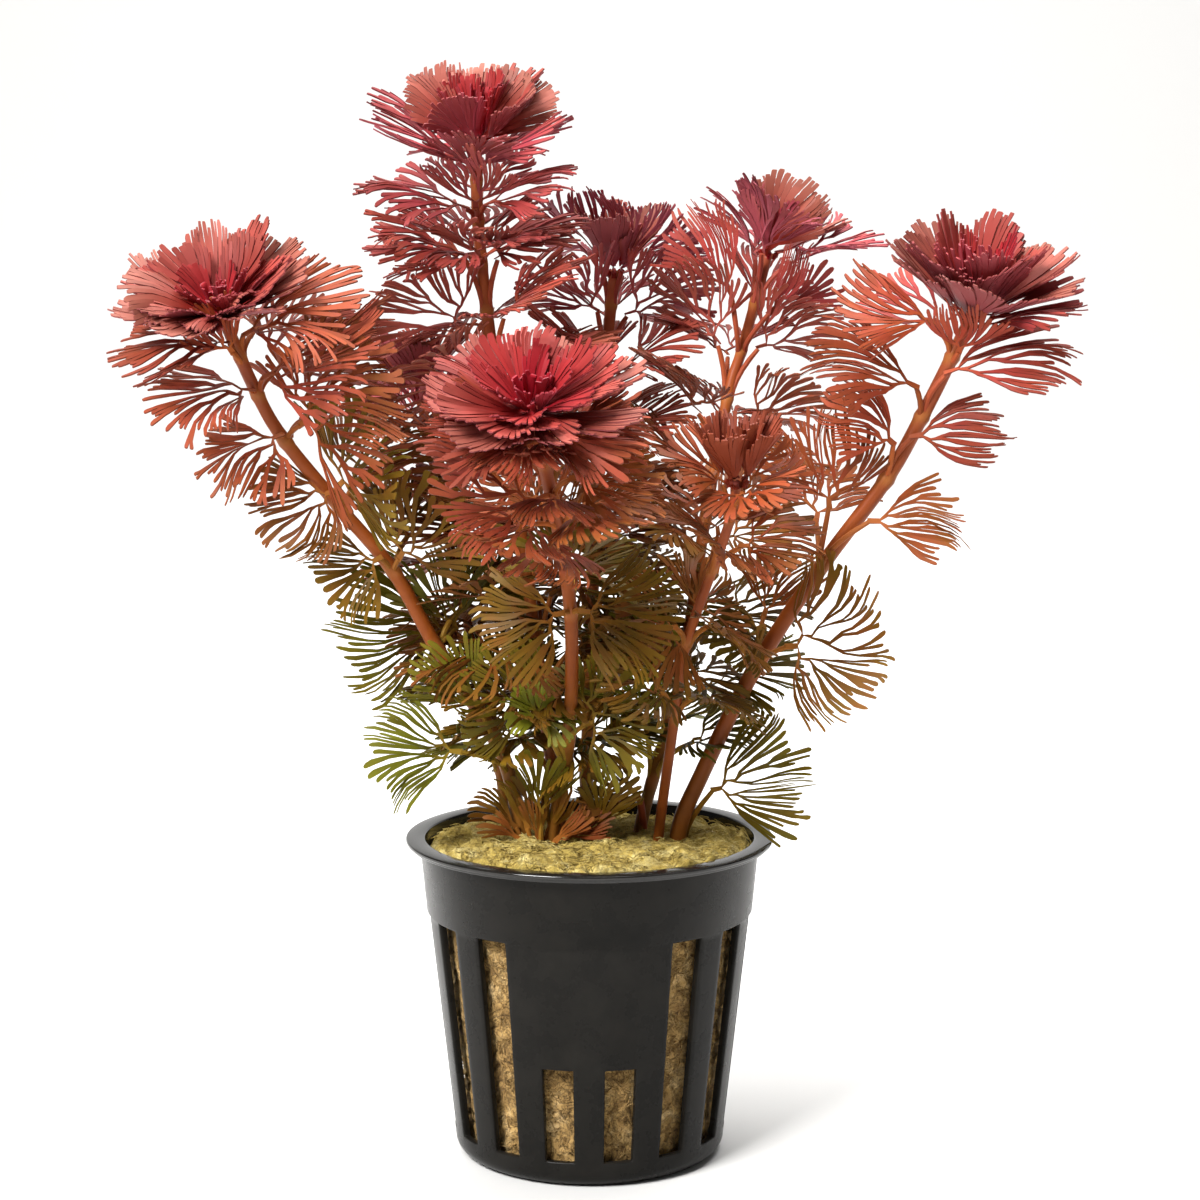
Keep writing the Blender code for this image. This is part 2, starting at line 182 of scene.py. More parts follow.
def pot_outline():
    """The wall's outside from the middle of the base up to the rim, then its inside back down, with a row
    of points at both ends of the slots and another a little inside each end."""
    slot_rows = (SLOT_FOOT, SLOT_FOOT + SLOT_END, SHORT_SLOT_TOP - SLOT_END, SHORT_SLOT_TOP,
                 SKIRT_TOP[1] - SLOT_END, SKIRT_TOP[1])
    slope = (SKIRT_TOP[0] - SKIRT_FOOT[0]) / (SKIRT_TOP[1] - SKIRT_FOOT[1])
    yield from ((radius, 0) for radius in (0, DRAIN_NEAR, DRAIN_FAR))
    yield from arc((SKIRT_FOOT[0] - SKIRT_FOOT[1], SKIRT_FOOT[1]), SKIRT_FOOT[1], -90, 0, 8)
    yield from ((SKIRT_FOOT[0] + slope * (height - SKIRT_FOOT[1]), height) for height in slot_rows)
    yield COLLAR_FOOT
    yield COLLAR_TOP
    yield RIDGE_RADIUS, COLLAR_TOP[1]
    yield RIDGE_RADIUS, LIP_FOOT
    yield from arc((RIM_RADIUS - RIM_ROUNDING, LIP_FOOT + RIM_ROUNDING), RIM_ROUNDING, -90, 0, 3)
    yield from arc((RIM_RADIUS - RIM_ROUNDING, POT_HEIGHT - RIM_ROUNDING), RIM_ROUNDING, 0, 90, 3)
    yield from arc((BORE + RIM_ROUNDING, POT_HEIGHT - RIM_ROUNDING), RIM_ROUNDING, 90, 180, 3)
    yield from ((bore_radius(height), height) for height in reversed(slot_rows))
    yield bore_radius(WALL), WALL
    yield from ((radius, WALL) for radius in (DRAIN_FAR, DRAIN_NEAR, 0))


def turned(outline, steps):
    """A closed shape turned round Z from an outline of (radius, height) with both ends on the axis."""
    bm = bmesh.new()
    line = [bm.verts.new((radius, 0, height)) for radius, height in outline]
    edges = [bm.edges.new(pair) for pair in zip(line, line[1:])]
    bmesh.ops.spin(bm, geom=line + edges, cent=(0, 0, 0), axis=(0, 0, 1), angle=tau, steps=steps,
                   use_merge=True)
    bmesh.ops.remove_doubles(bm, verts=bm.verts, dist=0.001 * MM)
    bmesh.ops.recalc_face_normals(bm, faces=bm.faces)
    return bm


def slot_at(place):
    """The number of the slot that this place on the wall lies in, or None."""
    pitch = tau / SLOT_COUNT
    turn = (atan2(place.y, place.x) + pi / 2) / pitch % SLOT_COUNT
    number = int(turn)
    top = SHORT_SLOT_TOP if number in (0, SLOT_COUNT - 1) else SKIRT_TOP[1]
    inside = abs(turn - number - 0.5) < SLOT_SHARE / 2
    return number if inside and SLOT_FOOT < place.z < top else None


def drain_at(place):
    """The number of the drain that this place on the base lies in, or None."""
    turn = (atan2(place.y, place.x) / tau * DRAIN_COUNT) % DRAIN_COUNT
    inside = abs(turn % 1 - 0.5) < DRAIN_SHARE / 2 and DRAIN_NEAR < hypot(place.x, place.y) < DRAIN_FAR
    return int(turn) if inside and place.z <= WALL else None


def open_wall(bm, where):
    """Takes the faces out of both sides of the wall where it is open, and joins the two sides there."""
    holes = {}
    for face in bm.faces:
        number = where(face.calc_center_median())
        if number is not None:
            holes.setdefault(number, []).append(face)
    rims = []
    for faces in holes.values():
        edges = [edge for face in faces for edge in face.edges]
        rims.append([edge for edge in edges if any(face not in faces for face in edge.link_faces)])
    bmesh.ops.delete(bm, geom=[face for faces in holes.values() for face in faces], context="FACES")
    for rim in rims:
        bmesh.ops.bridge_loops(bm, edges=[edge for edge in rim if edge.is_valid and edge.is_boundary])


bm = turned(pot_outline(), POT_STEPS)
open_wall(bm, slot_at)
open_wall(bm, drain_at)
sharp = [edge for edge in bm.edges if len(edge.link_faces) == 2 and edge.calc_face_angle() > MOULDED_EDGE]
bmesh.ops.bevel(bm, geom=sharp, offset=EDGE_ROUNDING, segments=2, profile=0.5, affect="EDGES", material=-1)

# Black polypropylene, injection moulded: near black with a soft, slightly uneven satin sheen, glossier
# on the lip under the rim, with a trace of dust and handling.
LIP_GLOSS_FROM = 48.6 * MM
RIM_DULL_FROM = 49.92 * MM
RIM_DULL = 49.99 * MM


def connect(tree, node, sockets):
    """Gives the node's inputs their values, or links them to other nodes or outputs."""
    for name, value in dict(sockets).items():
        if isinstance(value, bpy.types.Node):
            value = next(output for output in value.outputs if output.enabled)
        if isinstance(value, bpy.types.NodeSocket):
            tree.links.new(value, node.inputs[name])
        else:
            node.inputs[name].default_value = value


def add(tree, kind, sockets=(), stops=(), **settings):
    """Adds a node with its settings and links. stops gives a ramp its colours."""
    node = tree.nodes.new("ShaderNode" + kind)
    for name, value in settings.items():
        setattr(node, name, value)
    connect(tree, node, sockets)
    for number, (position, shown) in enumerate(stops):
        if number > 1:
            node.color_ramp.elements.new(position)
        node.color_ramp.elements[number].position = position
        node.color_ramp.elements[number].color = colour(shown)
    return node


polypropylene, tree, shader = material("Black moulded polypropylene", IOR=1.49)
where = add(tree, "TexCoord").outputs["Object"]
height = add(tree, "SeparateXYZ", {"Vector": where}).outputs["Z"]
dust = add(tree, "TexNoise", {"Vector": where, "Scale": 180, "Detail": 6, "Roughness": 0.6})
grain = add(tree, "TexNoise", {"Vector": where, "Scale": 2600, "Detail": 3})
on_lip = add(tree, "MapRange", {"Value": height, "From Min": LIP_GLOSS_FROM, "From Max": COLLAR_TOP[1]})
on_rim = add(tree, "MapRange", {"Value": height, "From Min": RIM_DULL_FROM, "From Max": RIM_DULL})
dark = add(tree, "ValToRGB", {"Fac": dust}, ((0.3, "#141311"), (0.75, "#1E1C19")))
black = add(tree, "Mix", {"Factor": on_rim, "A": dark, "B": colour("#1A1918")}, data_type="RGBA")
satin = add(tree, "MapRange", {"Value": dust, "To Min": 0.2, "To Max": 0.36})
handled = add(tree, "Mix", {"Factor": on_lip, "A": satin, "B": 0.12})
lip_gloss = add(tree, "Mix", {"Factor": on_lip, "A": 0.1, "B": 0.5})
gloss = add(tree, "Mix", {"Factor": on_rim, "A": lip_gloss, "B": 0.16})
bump = add(tree, "Bump", {"Height": grain, "Strength": 0.12, "Distance": 0.05 * MM})
connect(tree, shader, {"Base Color": black, "Roughness": handled, "Specular IOR Level": gloss,
                       "Normal": bump})
pot = add_object("moulded_net_pot", bm, polypropylene, SHADING_EDGE)
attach(pot, "root")
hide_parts("net_pot")

# Rockwool: a plug of spun mineral fibre pressed into the pot. Its top is lumpy and pale yellow, level
# with the rim at the front and lower at the back, and the fibres in the slots are brown and curly.
WOOL_TOP = 49.7 * MM
WOOL_SHOULDER = 48.5 * MM
WOOL_CLEARANCE = 0.55 * MM
WOOL_TILT = 0.045
WOOL_STEPS = 260
WOOL_ROW = 0.55 * MM
WOOL_SEED = 1
WOOL_FOOT = 1.5 * WALL
SHOULDER_SLOPE = 12
SWIRL = 2.5 * MM
SWIRL_SIZE = 5 * MM
FOLDS_FROM = WOOL_SHOULDER - 1 * MM


def wool_outline():
    rows = int((WOOL_SHOULDER - 2 * WALL) / WOOL_ROW)
    yield 0, WOOL_FOOT
    for row in range(rows + 1):
        height = WOOL_FOOT + (WOOL_SHOULDER - WOOL_FOOT) * row / rows
        yield bore_radius(height) - WOOL_CLEARANCE, height
    edge = bore_radius(WOOL_SHOULDER) - WOOL_CLEARANCE
    rounding = WOOL_TOP - WOOL_SHOULDER
    yield from arc((edge - rounding, WOOL_SHOULDER), rounding, SHOULDER_SLOPE, 90, 5)
    rings = int((edge - rounding) / WOOL_ROW)
    for ring in range(1, rings + 1):
        yield (edge - rounding) * (1 - ring / rings), WOOL_TOP


def folds(place, size, sharpness):
    """Creased noise from 0 in the creases to 1 on the lumps between them."""
    return abs(noise.noise(place / (size * MM))) ** sharpness


def grit(place, size):
    """Plain noise from -1 to 1."""
    return noise.noise(place / (size * MM))


def lump(place):
    """How far the wool stands out at this place: rolls and folds on its top, small curls in the slots."""
    swirled = place + noise.noise_vector(place / SWIRL_SIZE) * SWIRL
    if place.z > FOLDS_FROM:
        rolls = folds(swirled, 5.5, 0.7) * 2.6 + folds(swirled, 2.2, 0.7) * 1.0
        return (rolls - 1.6 + grit(place, 0.8) * 0.22) * MM
    return (folds(swirled, 1.9, 0.6) * 1.1 + grit(place, 0.7) * 0.25 - 1.0) * MM


noise.seed_set(WOOL_SEED)
bm = turned(wool_outline(), WOOL_STEPS)
for vert in bm.verts:
    flat = Vector((vert.co.x, vert.co.y, 0))
    outward = flat.normalized() if vert.co.z < WOOL_SHOULDER else Vector((0, 0, 1))
    moved = lump(vert.co)
    if vert.co.z >= WOOL_SHOULDER:
        vert.co.z -= vert.co.y * WOOL_TILT
    vert.co += outward * moved

# Spun rock fibre with a yellow binder: dull and soft, yellow on top and brown in the slots, with painted
# shade that darkens the creases between its curls, deeper in the slots than on top.
YELLOW_FROM = 42 * MM
YELLOW = 45.5 * MM
rock_fibre, tree, shader = material("Spun rock fibre", Roughness=0.95)
where = add(tree, "TexCoord").outputs["Object"]
height = add(tree, "SeparateXYZ", {"Vector": where}).outputs["Z"]
on_top = add(tree, "MapRange", {"Value": height, "From Min": YELLOW_FROM, "From Max": YELLOW})
curls = add(tree, "TexNoise", {"Vector": where, "Scale": 620, "Detail": 2, "Distortion": 2.6})
off_middle = add(tree, "Math", {0: curls, 1: 0.5}, operation="SUBTRACT")
from_crease = add(tree, "Math", {0: off_middle}, operation="ABSOLUTE")
# Painted shade: the creases between the curls are darkened, more in the slots than on top.
darkest_crease_shade = add(tree, "MapRange", {"Value": on_top, "To Min": 0.42, "To Max": 0.62})
crease_shade = add(tree, "MapRange", {"Value": from_crease, "From Max": 0.05, "To Min": darkest_crease_shade})
blotch = add(tree, "TexNoise", {"Vector": where, "Scale": 260, "Detail": 6, "Roughness": 0.65})
yellow = add(tree, "ValToRGB", {"Fac": blotch}, ((0.3, "#806A28"), (0.5, "#B0984A"), (0.72, "#DCCC8C")))
tan = add(tree, "ValToRGB", {"Fac": blotch}, ((0.3, "#74562C"), (0.52, "#AA8850"), (0.72, "#D2B480")))
fibre_colour = add(tree, "Mix", {"Factor": on_top, "A": tan, "B": yellow}, data_type="RGBA")
crease_shaded = add(tree, "HueSaturation", {"Color": fibre_colour, "Value": crease_shade})
fine = add(tree, "TexNoise", {"Vector": where, "Scale": 1500, "Detail": 5, "Roughness": 0.7})
rough = add(tree, "Math", {0: fine, 1: crease_shade}, operation="ADD")
bump = add(tree, "Bump", {"Height": rough, "Strength": 0.8, "Distance": 0.3 * MM})
connect(tree, shader, {"Base Color": crease_shaded, "Normal": bump})
surface = BVHTree.FromBMesh(bm)
wool = add_object("wool_plug", bm, rock_fibre)
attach(wool, "root")
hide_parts("rockwool_plug")

# Loose fibres of the wool: short curled strands that lie on its top and stand out in the slots.
STRAND_RADIUS = 0.075 * MM
STRAND_LENGTH = (1.2, 3.4)
STRAND_BEND = 0.5
STRAND_ARCH = 0.32
STRAND_LIFT = (-0.05, 0.12)
STRAND_BATCH = 100
TOP_STRANDS = 1800
SIDE_STRANDS = 1400


def facing(place, growth, turn=0):
    """A frame at this place: its Z is along the growth, its X turned from the left towards the front."""
    across = Vector((0, -1, 0)).cross(growth).normalized()
    front = growth.cross(across)
    axes = Matrix((across, front, growth)).transposed().to_4x4()
    return Matrix.Translation(place) @ axes @ Matrix.Rotation(turn, 4, "Z")


def tube(bm, route, radii, sides):
    """A round tube along the route with closed ends."""
    ring = bmesh.ops.create_circle(bm, radius=1, segments=sides)["verts"]
    edges = list(dict.fromkeys(edge for vert in ring for edge in vert.link_edges))
    first = edges
    last = Matrix.Identity(4)
    for number, place in enumerate(route):
        growth = route[min(number + 1, len(route) - 1)] - route[max(number - 1, 0)]
        axes = facing(place, growth.normalized()) @ Matrix.Scale(radii[number], 4)
        if number:
            grown = bmesh.ops.extrude_edge_only(bm, edges=edges)["geom"]
            ring = [item for item in grown if isinstance(item, bmesh.types.BMVert)]
            edges = [item for item in grown if isinstance(item, bmesh.types.BMEdge)]
        bmesh.ops.transform(bm, matrix=axes @ last.inverted(), verts=ring)
        last = axes
    bmesh.ops.holes_fill(bm, edges=first + edges)


def join(whole, part):
    """Adds the part to the whole and frees the part."""
    mesh = bpy.data.meshes.new("joined_part")
    part.to_mesh(mesh)
    part.free()
    whole.from_mesh(mesh)
    bpy.data.meshes.remove(mesh)


def strand(bm, luck, seen_from, towards):
    """Lays one curled strand on the wool near the place where this ray meets it."""
    place, normal, _, _ = surface.ray_cast(seen_from, towards)
    if place is None:
        return
    course = normal.cross(Vector([luck.uniform(-1, 1) for _ in range(3)])).normalized()
    length = luck.uniform(*STRAND_LENGTH) * MM
    bend = normal.cross(course) * luck.uniform(-STRAND_BEND, STRAND_BEND) * length
    points = []
    for t in (0, 0.25, 0.5, 0.75, 1):
        lifted = normal * (STRAND_ARCH * 4 * t * (1 - t) + luck.uniform(*STRAND_LIFT)) * MM
        points.append(place + course * length * (t - 0.5) + bend * (t - 0.5) ** 2 * 2 + lifted)
    tube(bm, points, [STRAND_RADIUS] * len(points), 3)


luck = Random(40)
strands = bmesh.new()
for batch in range((TOP_STRANDS + SIDE_STRANDS) // STRAND_BATCH):
    bm = bmesh.new()
    for number in range(STRAND_BATCH):
        angle = luck.uniform(0, tau)
        if batch * STRAND_BATCH < TOP_STRANDS:
            radius = BORE * luck.random() ** 0.5
            above = Vector((radius * cos(angle), radius * sin(angle), 1.5 * POT_HEIGHT))
            strand(bm, luck, above, Vector((0, 0, -1)))
        else:
            slot = luck.randrange(SLOT_COUNT) + luck.uniform(0.25, 0.75)
            angle = slot * tau / SLOT_COUNT - pi / 2
            outside = Vector((cos(angle), sin(angle), 0))
            height = Vector((0, 0, luck.uniform(SLOT_FOOT, SKIRT_TOP[1])))
            strand(bm, luck, 2 * BORE * outside + height, -outside)
    join(strands, bm)
bmesh.ops.recalc_face_normals(strands, faces=strands.faces)
fibres = add_object("loose_wool_fibres", strands, rock_fibre)
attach(fibres, "root")

# Stems: eight soft, round stems pushed into the wool, slightly swollen at each joint where the leaves
# grow. They lean outwards as they rise. The rows are name, radius at the wool and under the crown, the
# route from inside the wool to the tip, and the joints' heights: those of the frame, then the lower ones.
# GREEN_AFTER is how far below its tip each stem is fully green. All of it is in mm.
STEMS = (
    ("left", 1.28, 0.92,
     ((-10, 0, 30), (-10.2, 0, 40), (-10.6, 0, 50), (-14, -1, 64), (-23.5, -3, 80), (-30, -4, 92),
      (-37.5, -6, 101.5), (-46, -8, 112.5), (-50, -9, 120), (-54.2, -13.5, 131.4)),
     (66, 80, 92, 101.5, 112, 119, 125), ()),
    ("top", 1.1, 0.9,
     ((-4.5, 2, 30), (-4.5, 2, 40), (-4.7, 2, 51), (-7.7, 4, 74), (-11, 7, 99), (-14, 9, 117),
      (-16, 10, 131), (-17.3, 10, 145), (-17.5, 9.5, 157)),
     (121, 131, 138.5, 145, 151), (57, 64, 71, 79, 88, 100, 111)),
    ("centre", 1.1, 0.9,
     ((-0.7, 5, 30), (-0.7, 5, 40), (-0.7, 5, 51), (0.4, 13, 85), (1.6, 20, 108), (3, 24, 127),
      (4, 25.5, 137)),
     (115, 124, 131.5), (58, 66, 74, 82, 90, 98, 106)),
    ("front", 1.05, 0.95,
     ((-5.8, -2, 30), (-5.8, -2, 40), (-5.7, -2.2, 51), (-3.2, -8, 66), (-2.6, -17, 85),
      (-4, -24, 98), (-6, -30, 109), (-7.8, -36, 118.5)),
     (66.5, 87.3, 98.5, 105, 110.5), ()),
    ("right_back", 1.1, 0.8,
     ((8, 3, 30), (8, 3, 40), (8.1, 3.1, 51), (14.3, 8, 73), (18.3, 13, 98), (22, 17, 117.5),
      (24.3, 18, 125), (28.3, 18, 140)),
     (107, 117, 124.5, 132), (58, 66, 76, 87, 98)),
    ("right", 1.4, 1.0,
     ((13.6, 0, 30), (13.6, 0, 40), (13.9, 0, 50.5), (17.2, 0, 59), (25.2, -2, 76), (35, -4, 92),
      (45, -5, 106), (50.5, -5, 116), (55, -6, 125.5), (57.5, -6.5, 131)),
     (76, 92.2, 106, 115.5, 124.5), ()),
    ("small_right", 0.85, 0.7,
     ((10.5, -1.5, 30), (10.5, -1.5, 40), (10.7, -1.8, 50), (13.7, -8, 75), (14.7, -11, 82),
      (18, -17, 93), (20.5, -20.5, 101), (21.6, -22.8, 107.5)),
     (81.5, 93.5, 101.5), (70,)),
    ("small_left", 0.8, 0.7,
     ((-13.2, 4, 30), (-13.2, 4, 40), (-13.2, 4.2, 50), (-14.8, 6.5, 63), (-17.7, 10, 75),
      (-21.5, 15, 90), (-25.5, 20, 108), (-27.5, 22, 117.5)),
     (99, 109), (59, 67, 77, 87)),
)
STEM_SIDES = 20
STEM_STEPS = 96
JOINT_SWELLING = 0.22
JOINT_LENGTH = 1.3 * MM
GREEN_AFTER = {"left": 67, "top": 130, "centre": 80, "front": 55, "right_back": 80, "right": 88,
               "small_right": 70, "small_left": 60}


def smooth_route(points, steps):
    """Points on a curve that passes through each given point, in metres."""
    known = [Vector(point) * MM for point in points]
    known = [2 * known[0] - known[1], *known, 2 * known[-1] - known[-2]]
    spans = len(points) - 1
    for step in range(steps + 1):
        place = min(step / steps * spans, spans - 1e-6)
        number, t = int(place), place % 1
        a, b, c, d = known[number : number + 4]
        yield 0.5 * (
            2 * b + (c - a) * t + (2 * a - 5 * b + 4 * c - d) * t**2 + (3 * b - a - 3 * c + d) * t**3
        )


def at_height(route, height):
    """The route's point at this height, and the direction of growth there."""
    for low, high in zip(route, route[1:]):
        if high.z >= height:
            break
    share = (height - low.z) / (high.z - low.z)
    return low.lerp(high, share), (high - low).normalized()


def near_joint(height, joints):
    """1 at a joint, and less beside it, down to 0 at the length of a joint away from it."""
    return max(0, *(1 - abs(height - joint) / JOINT_LENGTH for joint in joints))


# Living stem: firm, smooth and faintly ribbed lengthwise, red-brown with paler joints, olive low down.
living_stem, tree, shader = material("Living cabomba stem", Roughness=0.42, IOR=1.4,
                                     Specular_IOR_Level=0.28)
where = add(tree, "TexCoord").outputs["Object"]
age = add(tree, "Attribute", attribute_name="age").outputs["Fac"]
joint = add(tree, "Attribute", attribute_name="joint").outputs["Fac"]
lengthwise = add(tree, "Mapping", {"Vector": where, "Scale": (1, 1, 0.12)})
ribs = add(tree, "TexNoise", {"Vector": lengthwise, "Scale": 1400, "Detail": 4})
blotch = add(tree, "TexNoise", {"Vector": where, "Scale": 170, "Detail": 4})
skin = add(tree, "ValToRGB", {"Fac": age},
           ((0.0, "#A04C34"), (0.4, "#8C4218"), (0.75, "#84400F"), (1.0, "#7E5820")))
mottle = add(tree, "ValToRGB", {"Fac": blotch}, ((0.35, "#642C0C"), (0.7, "#9C541C")))
mottled = add(tree, "Mix", {"Factor": 0.35, "A": skin, "B": mottle}, data_type="RGBA")
paler = add(tree, "Mix", {"Factor": joint, "A": mottled, "B": colour("#A0602E")}, data_type="RGBA")
bump = add(tree, "Bump", {"Height": ribs, "Strength": 0.35, "Distance": 0.15 * MM})
connect(tree, shader, {"Base Color": paler, "Normal": bump})

routes = {}
for name, low_radius, high_radius, points, held_joints, lower_joints in STEMS:
    route = list(smooth_route(points, STEM_STEPS))
    routes[name] = route
    joints = [height * MM for height in (*held_joints, *lower_joints)]
    radii = []
    for number, place in enumerate(route):
        plain = low_radius + (high_radius - low_radius) * number / STEM_STEPS
        radii.append(plain * (1 + JOINT_SWELLING * near_joint(place.z, joints) ** 2) * MM)
    bm = bmesh.new()
    tube(bm, route, radii, STEM_SIDES)
    age_of = bm.verts.layers.float.new("age")
    joint_of = bm.verts.layers.float.new("joint")
    for vert in bm.verts:
        vert[age_of] = min((route[-1].z - vert.co.z) / (GREEN_AFTER[name] * MM), 1)
        vert[joint_of] = near_joint(vert.co.z, joints)
    bmesh.ops.recalc_face_normals(bm, faces=bm.faces)
    stem = add_object(f"living_{name}_stem", bm, living_stem)
    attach(stem, "root")
    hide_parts(name + "_stem")

# Whorl leaves: three at each joint. A leaf has a round stalk that rises steeply from the joint, and a
# blade that forks again and again into narrow flat strips with rounded tips, spread like a fan.
LEAF_THICKNESS = 0.22 * MM
THINNEST_STRIP = 0.28 * MM
STALK_STEPS = 5
YOUNG_LEAF = {
    "forks": (0.08, 0.17, 0.29, 0.44, 0.61, 0.8), "spacing": 1.15, "slim": 0.38, "broad": 0.6, "gap": 0.32,
    "wobble": 11, "sway": 26, "ragged": 0.24, "stray": 0.08, "taper": 0.16, "web": 0.22, "inner": 0.6,
    "stalk": 7.5, "lift": 78, "reach": 15.5, "spread": 146, "pitch": 4, "cup": 48, "curl": -22, "roll": 22,
}
OLD_LEAF = YOUNG_LEAF | {
    "forks": (0.06, 0.12, 0.22, 0.36, 0.54, 0.76), "spacing": 1.5, "slim": 0.36, "broad": 0.62,
    "wobble": 12, "stray": 0.09, "taper": 0.14, "web": 0.12, "stalk": 9, "lift": 62, "spread": 190,
    "pitch": 0, "cup": 24, "curl": -18, "roll": 38,
}
STEM_HABITS = {
    "left": {"mature": 44, "rust": 0.24, "size": 1.12, "stalk": 6, "broad": 0.56},
    "top": {"mature": 56, "broad": 0.52, "spacing": 1.0, "size": 1.1},
    "centre": {"mature": 40, "raised": 10, "stalk": 6, "broad": 0.52},
    "front": {"mature": 30, "rust": 0.24, "stalk": 5, "broad": 0.84},
    "right_back": {"mature": 50, "raised": 12, "broad": 0.5},
    "right": {"mature": 50, "rust": 0.14, "size": 1.2, "stalk": 7, "broad": 0.56},
    "small_right": {"mature": 30, "rust": 0.38, "size": 0.8, "stalk": 5, "broad": 0.6},
    "small_left": {"mature": 30, "raised": 6, "size": 0.8, "stalk": 5, "broad": 0.56},
}
OLDEST = 0.86
FARTHEST_TIP = 1.04
FORK_SCATTER = (0.78, 1.22)
WEB_END = (0.8, 0.9)
SHORTEST_STRIP = 0.08
STRIP_STEPS = (0.35, 0.8, 0.94, 1)
RIB_STEPS = (0.5, 1)
TIP_FROM = 0.8
TIP_WIDTH = 0.35
RIB_GAP = 0.3
PARTING = (0.4, 0.6)
HUB = (-0.4 * MM, 0.5 * MM)
WOBBLE_WAVES = (2.2, 0.7)
SWAY_WAVES = (1.6, 1.4)
STALK_RADII = (0.5 * MM, 0.43 * MM, 0.36 * MM)
STALK_SIDES = 7
STEEPNESS = 0.45


def grow(bm, end, place, heading, width, reached, tone):
    """Extrudes the end of a strip to a new place, square to its heading, and returns its new end."""
    grown = bmesh.ops.extrude_edge_only(bm, edges=[bm.edges.get(end)])["geom"]
    fresh = [item for item in grown if isinstance(item, bmesh.types.BMVert)]
    fresh.sort(key=lambda vert: (vert.co - end[0].co).length)
    side = Vector((-heading.y, heading.x, 0)) * width / 2
    fresh[0].co = place + side
    fresh[1].co = place - side
    along = bm.verts.layers.float["along"]
    strip = bm.verts.layers.float["strip"]
    for vert in fresh:
        vert[along] = reached
        vert[strip] = tone
    return tuple(fresh)


def grow_branch(bm, end, start, heading, sector, level, leaf, luck):
    """Grows one strip of a fan, then the two that fork from its end where there is room for both."""
    low, high = sector
    middle = (low + high) / 2
    reach = leaf["reach"] * MM
    last = level == len(leaf["forks"]) or (high - low) * reach < leaf["spacing"] * MM
    webbed = not last and (high - low) * reach < 2 * leaf["spacing"] * MM and luck.random() < leaf["web"]
    if last:
        share = FARTHEST_TIP - luck.uniform(0, leaf["ragged"])
    else:
        share = leaf["forks"][level] * luck.uniform(*FORK_SCATTER)
    share = luck.uniform(*WEB_END) if webbed else share
    share *= 1 - leaf["taper"] * (2 * middle / radians(leaf["spread"])) ** 2
    share = max(share, hypot(start.x, start.y) / reach + SHORTEST_STRIP)
    goal = reach * share * Vector((cos(middle), sin(middle), 0))
    tone = luck.random()
    run = (goal - start.to_2d().to_3d()).length
    goal.z = start.z + heading.z * run * 0.5 + luck.uniform(-1, 1) * leaf["stray"] * run
    arrival = Vector((cos(middle), sin(middle), (goal.z - start.z) / run))
    for t in STRIP_STEPS if last else RIB_STEPS if level > 1 else (1,):
        place = (
            (2 * t**3 - 3 * t**2 + 1) * start + (t**3 - 2 * t**2 + t) * run * heading
            + (3 * t**2 - 2 * t**3) * goal + (t**3 - t**2) * run * arrival
        )
        course = (
            (6 * t**2 - 6 * t) * start + (3 * t**2 - 4 * t + 1) * run * heading
            + (6 * t - 6 * t**2) * goal + (3 * t**2 - 2 * t) * run * arrival
        ).to_2d().normalized().to_3d()
        if last:
            width = leaf["slim"] + (leaf["broad"] - leaf["slim"]) * min(t / TIP_FROM, 1)
            rounding = (1 - max((t - TIP_FROM) / (1 - TIP_FROM), 0) ** 2) ** 0.5
            width *= rounding * (1 - TIP_WIDTH) + TIP_WIDTH
        else:
            widest = 2 * leaf["broad"] if webbed else 2 * leaf["slim"]
            width = leaf["slim"] + (widest - leaf["slim"]) * t**2
        room = place.length * (high - low) - leaf["gap"] * (t**2 if last else RIB_GAP) * MM
        width = min(width * MM, max(room, THINNEST_STRIP))
        end = grow(bm, end, place, course, width, place.length / reach, tone)
    if last:
        return
    _, crotch = bmesh.utils.edge_split(bm.edges.get(end), end[0], 0.5)
    crotch[bm.verts.layers.float["along"]] = place.length / reach
    left, right = end
    parting = low + (high - low) * luck.uniform(*PARTING)
    for half, part in (((left, crotch), (parting, high)), ((crotch, right), (low, parting))):
        centre = (half[0].co + half[1].co) / 2
        grow_branch(bm, half, centre, arrival, part, level + 1, leaf, luck)


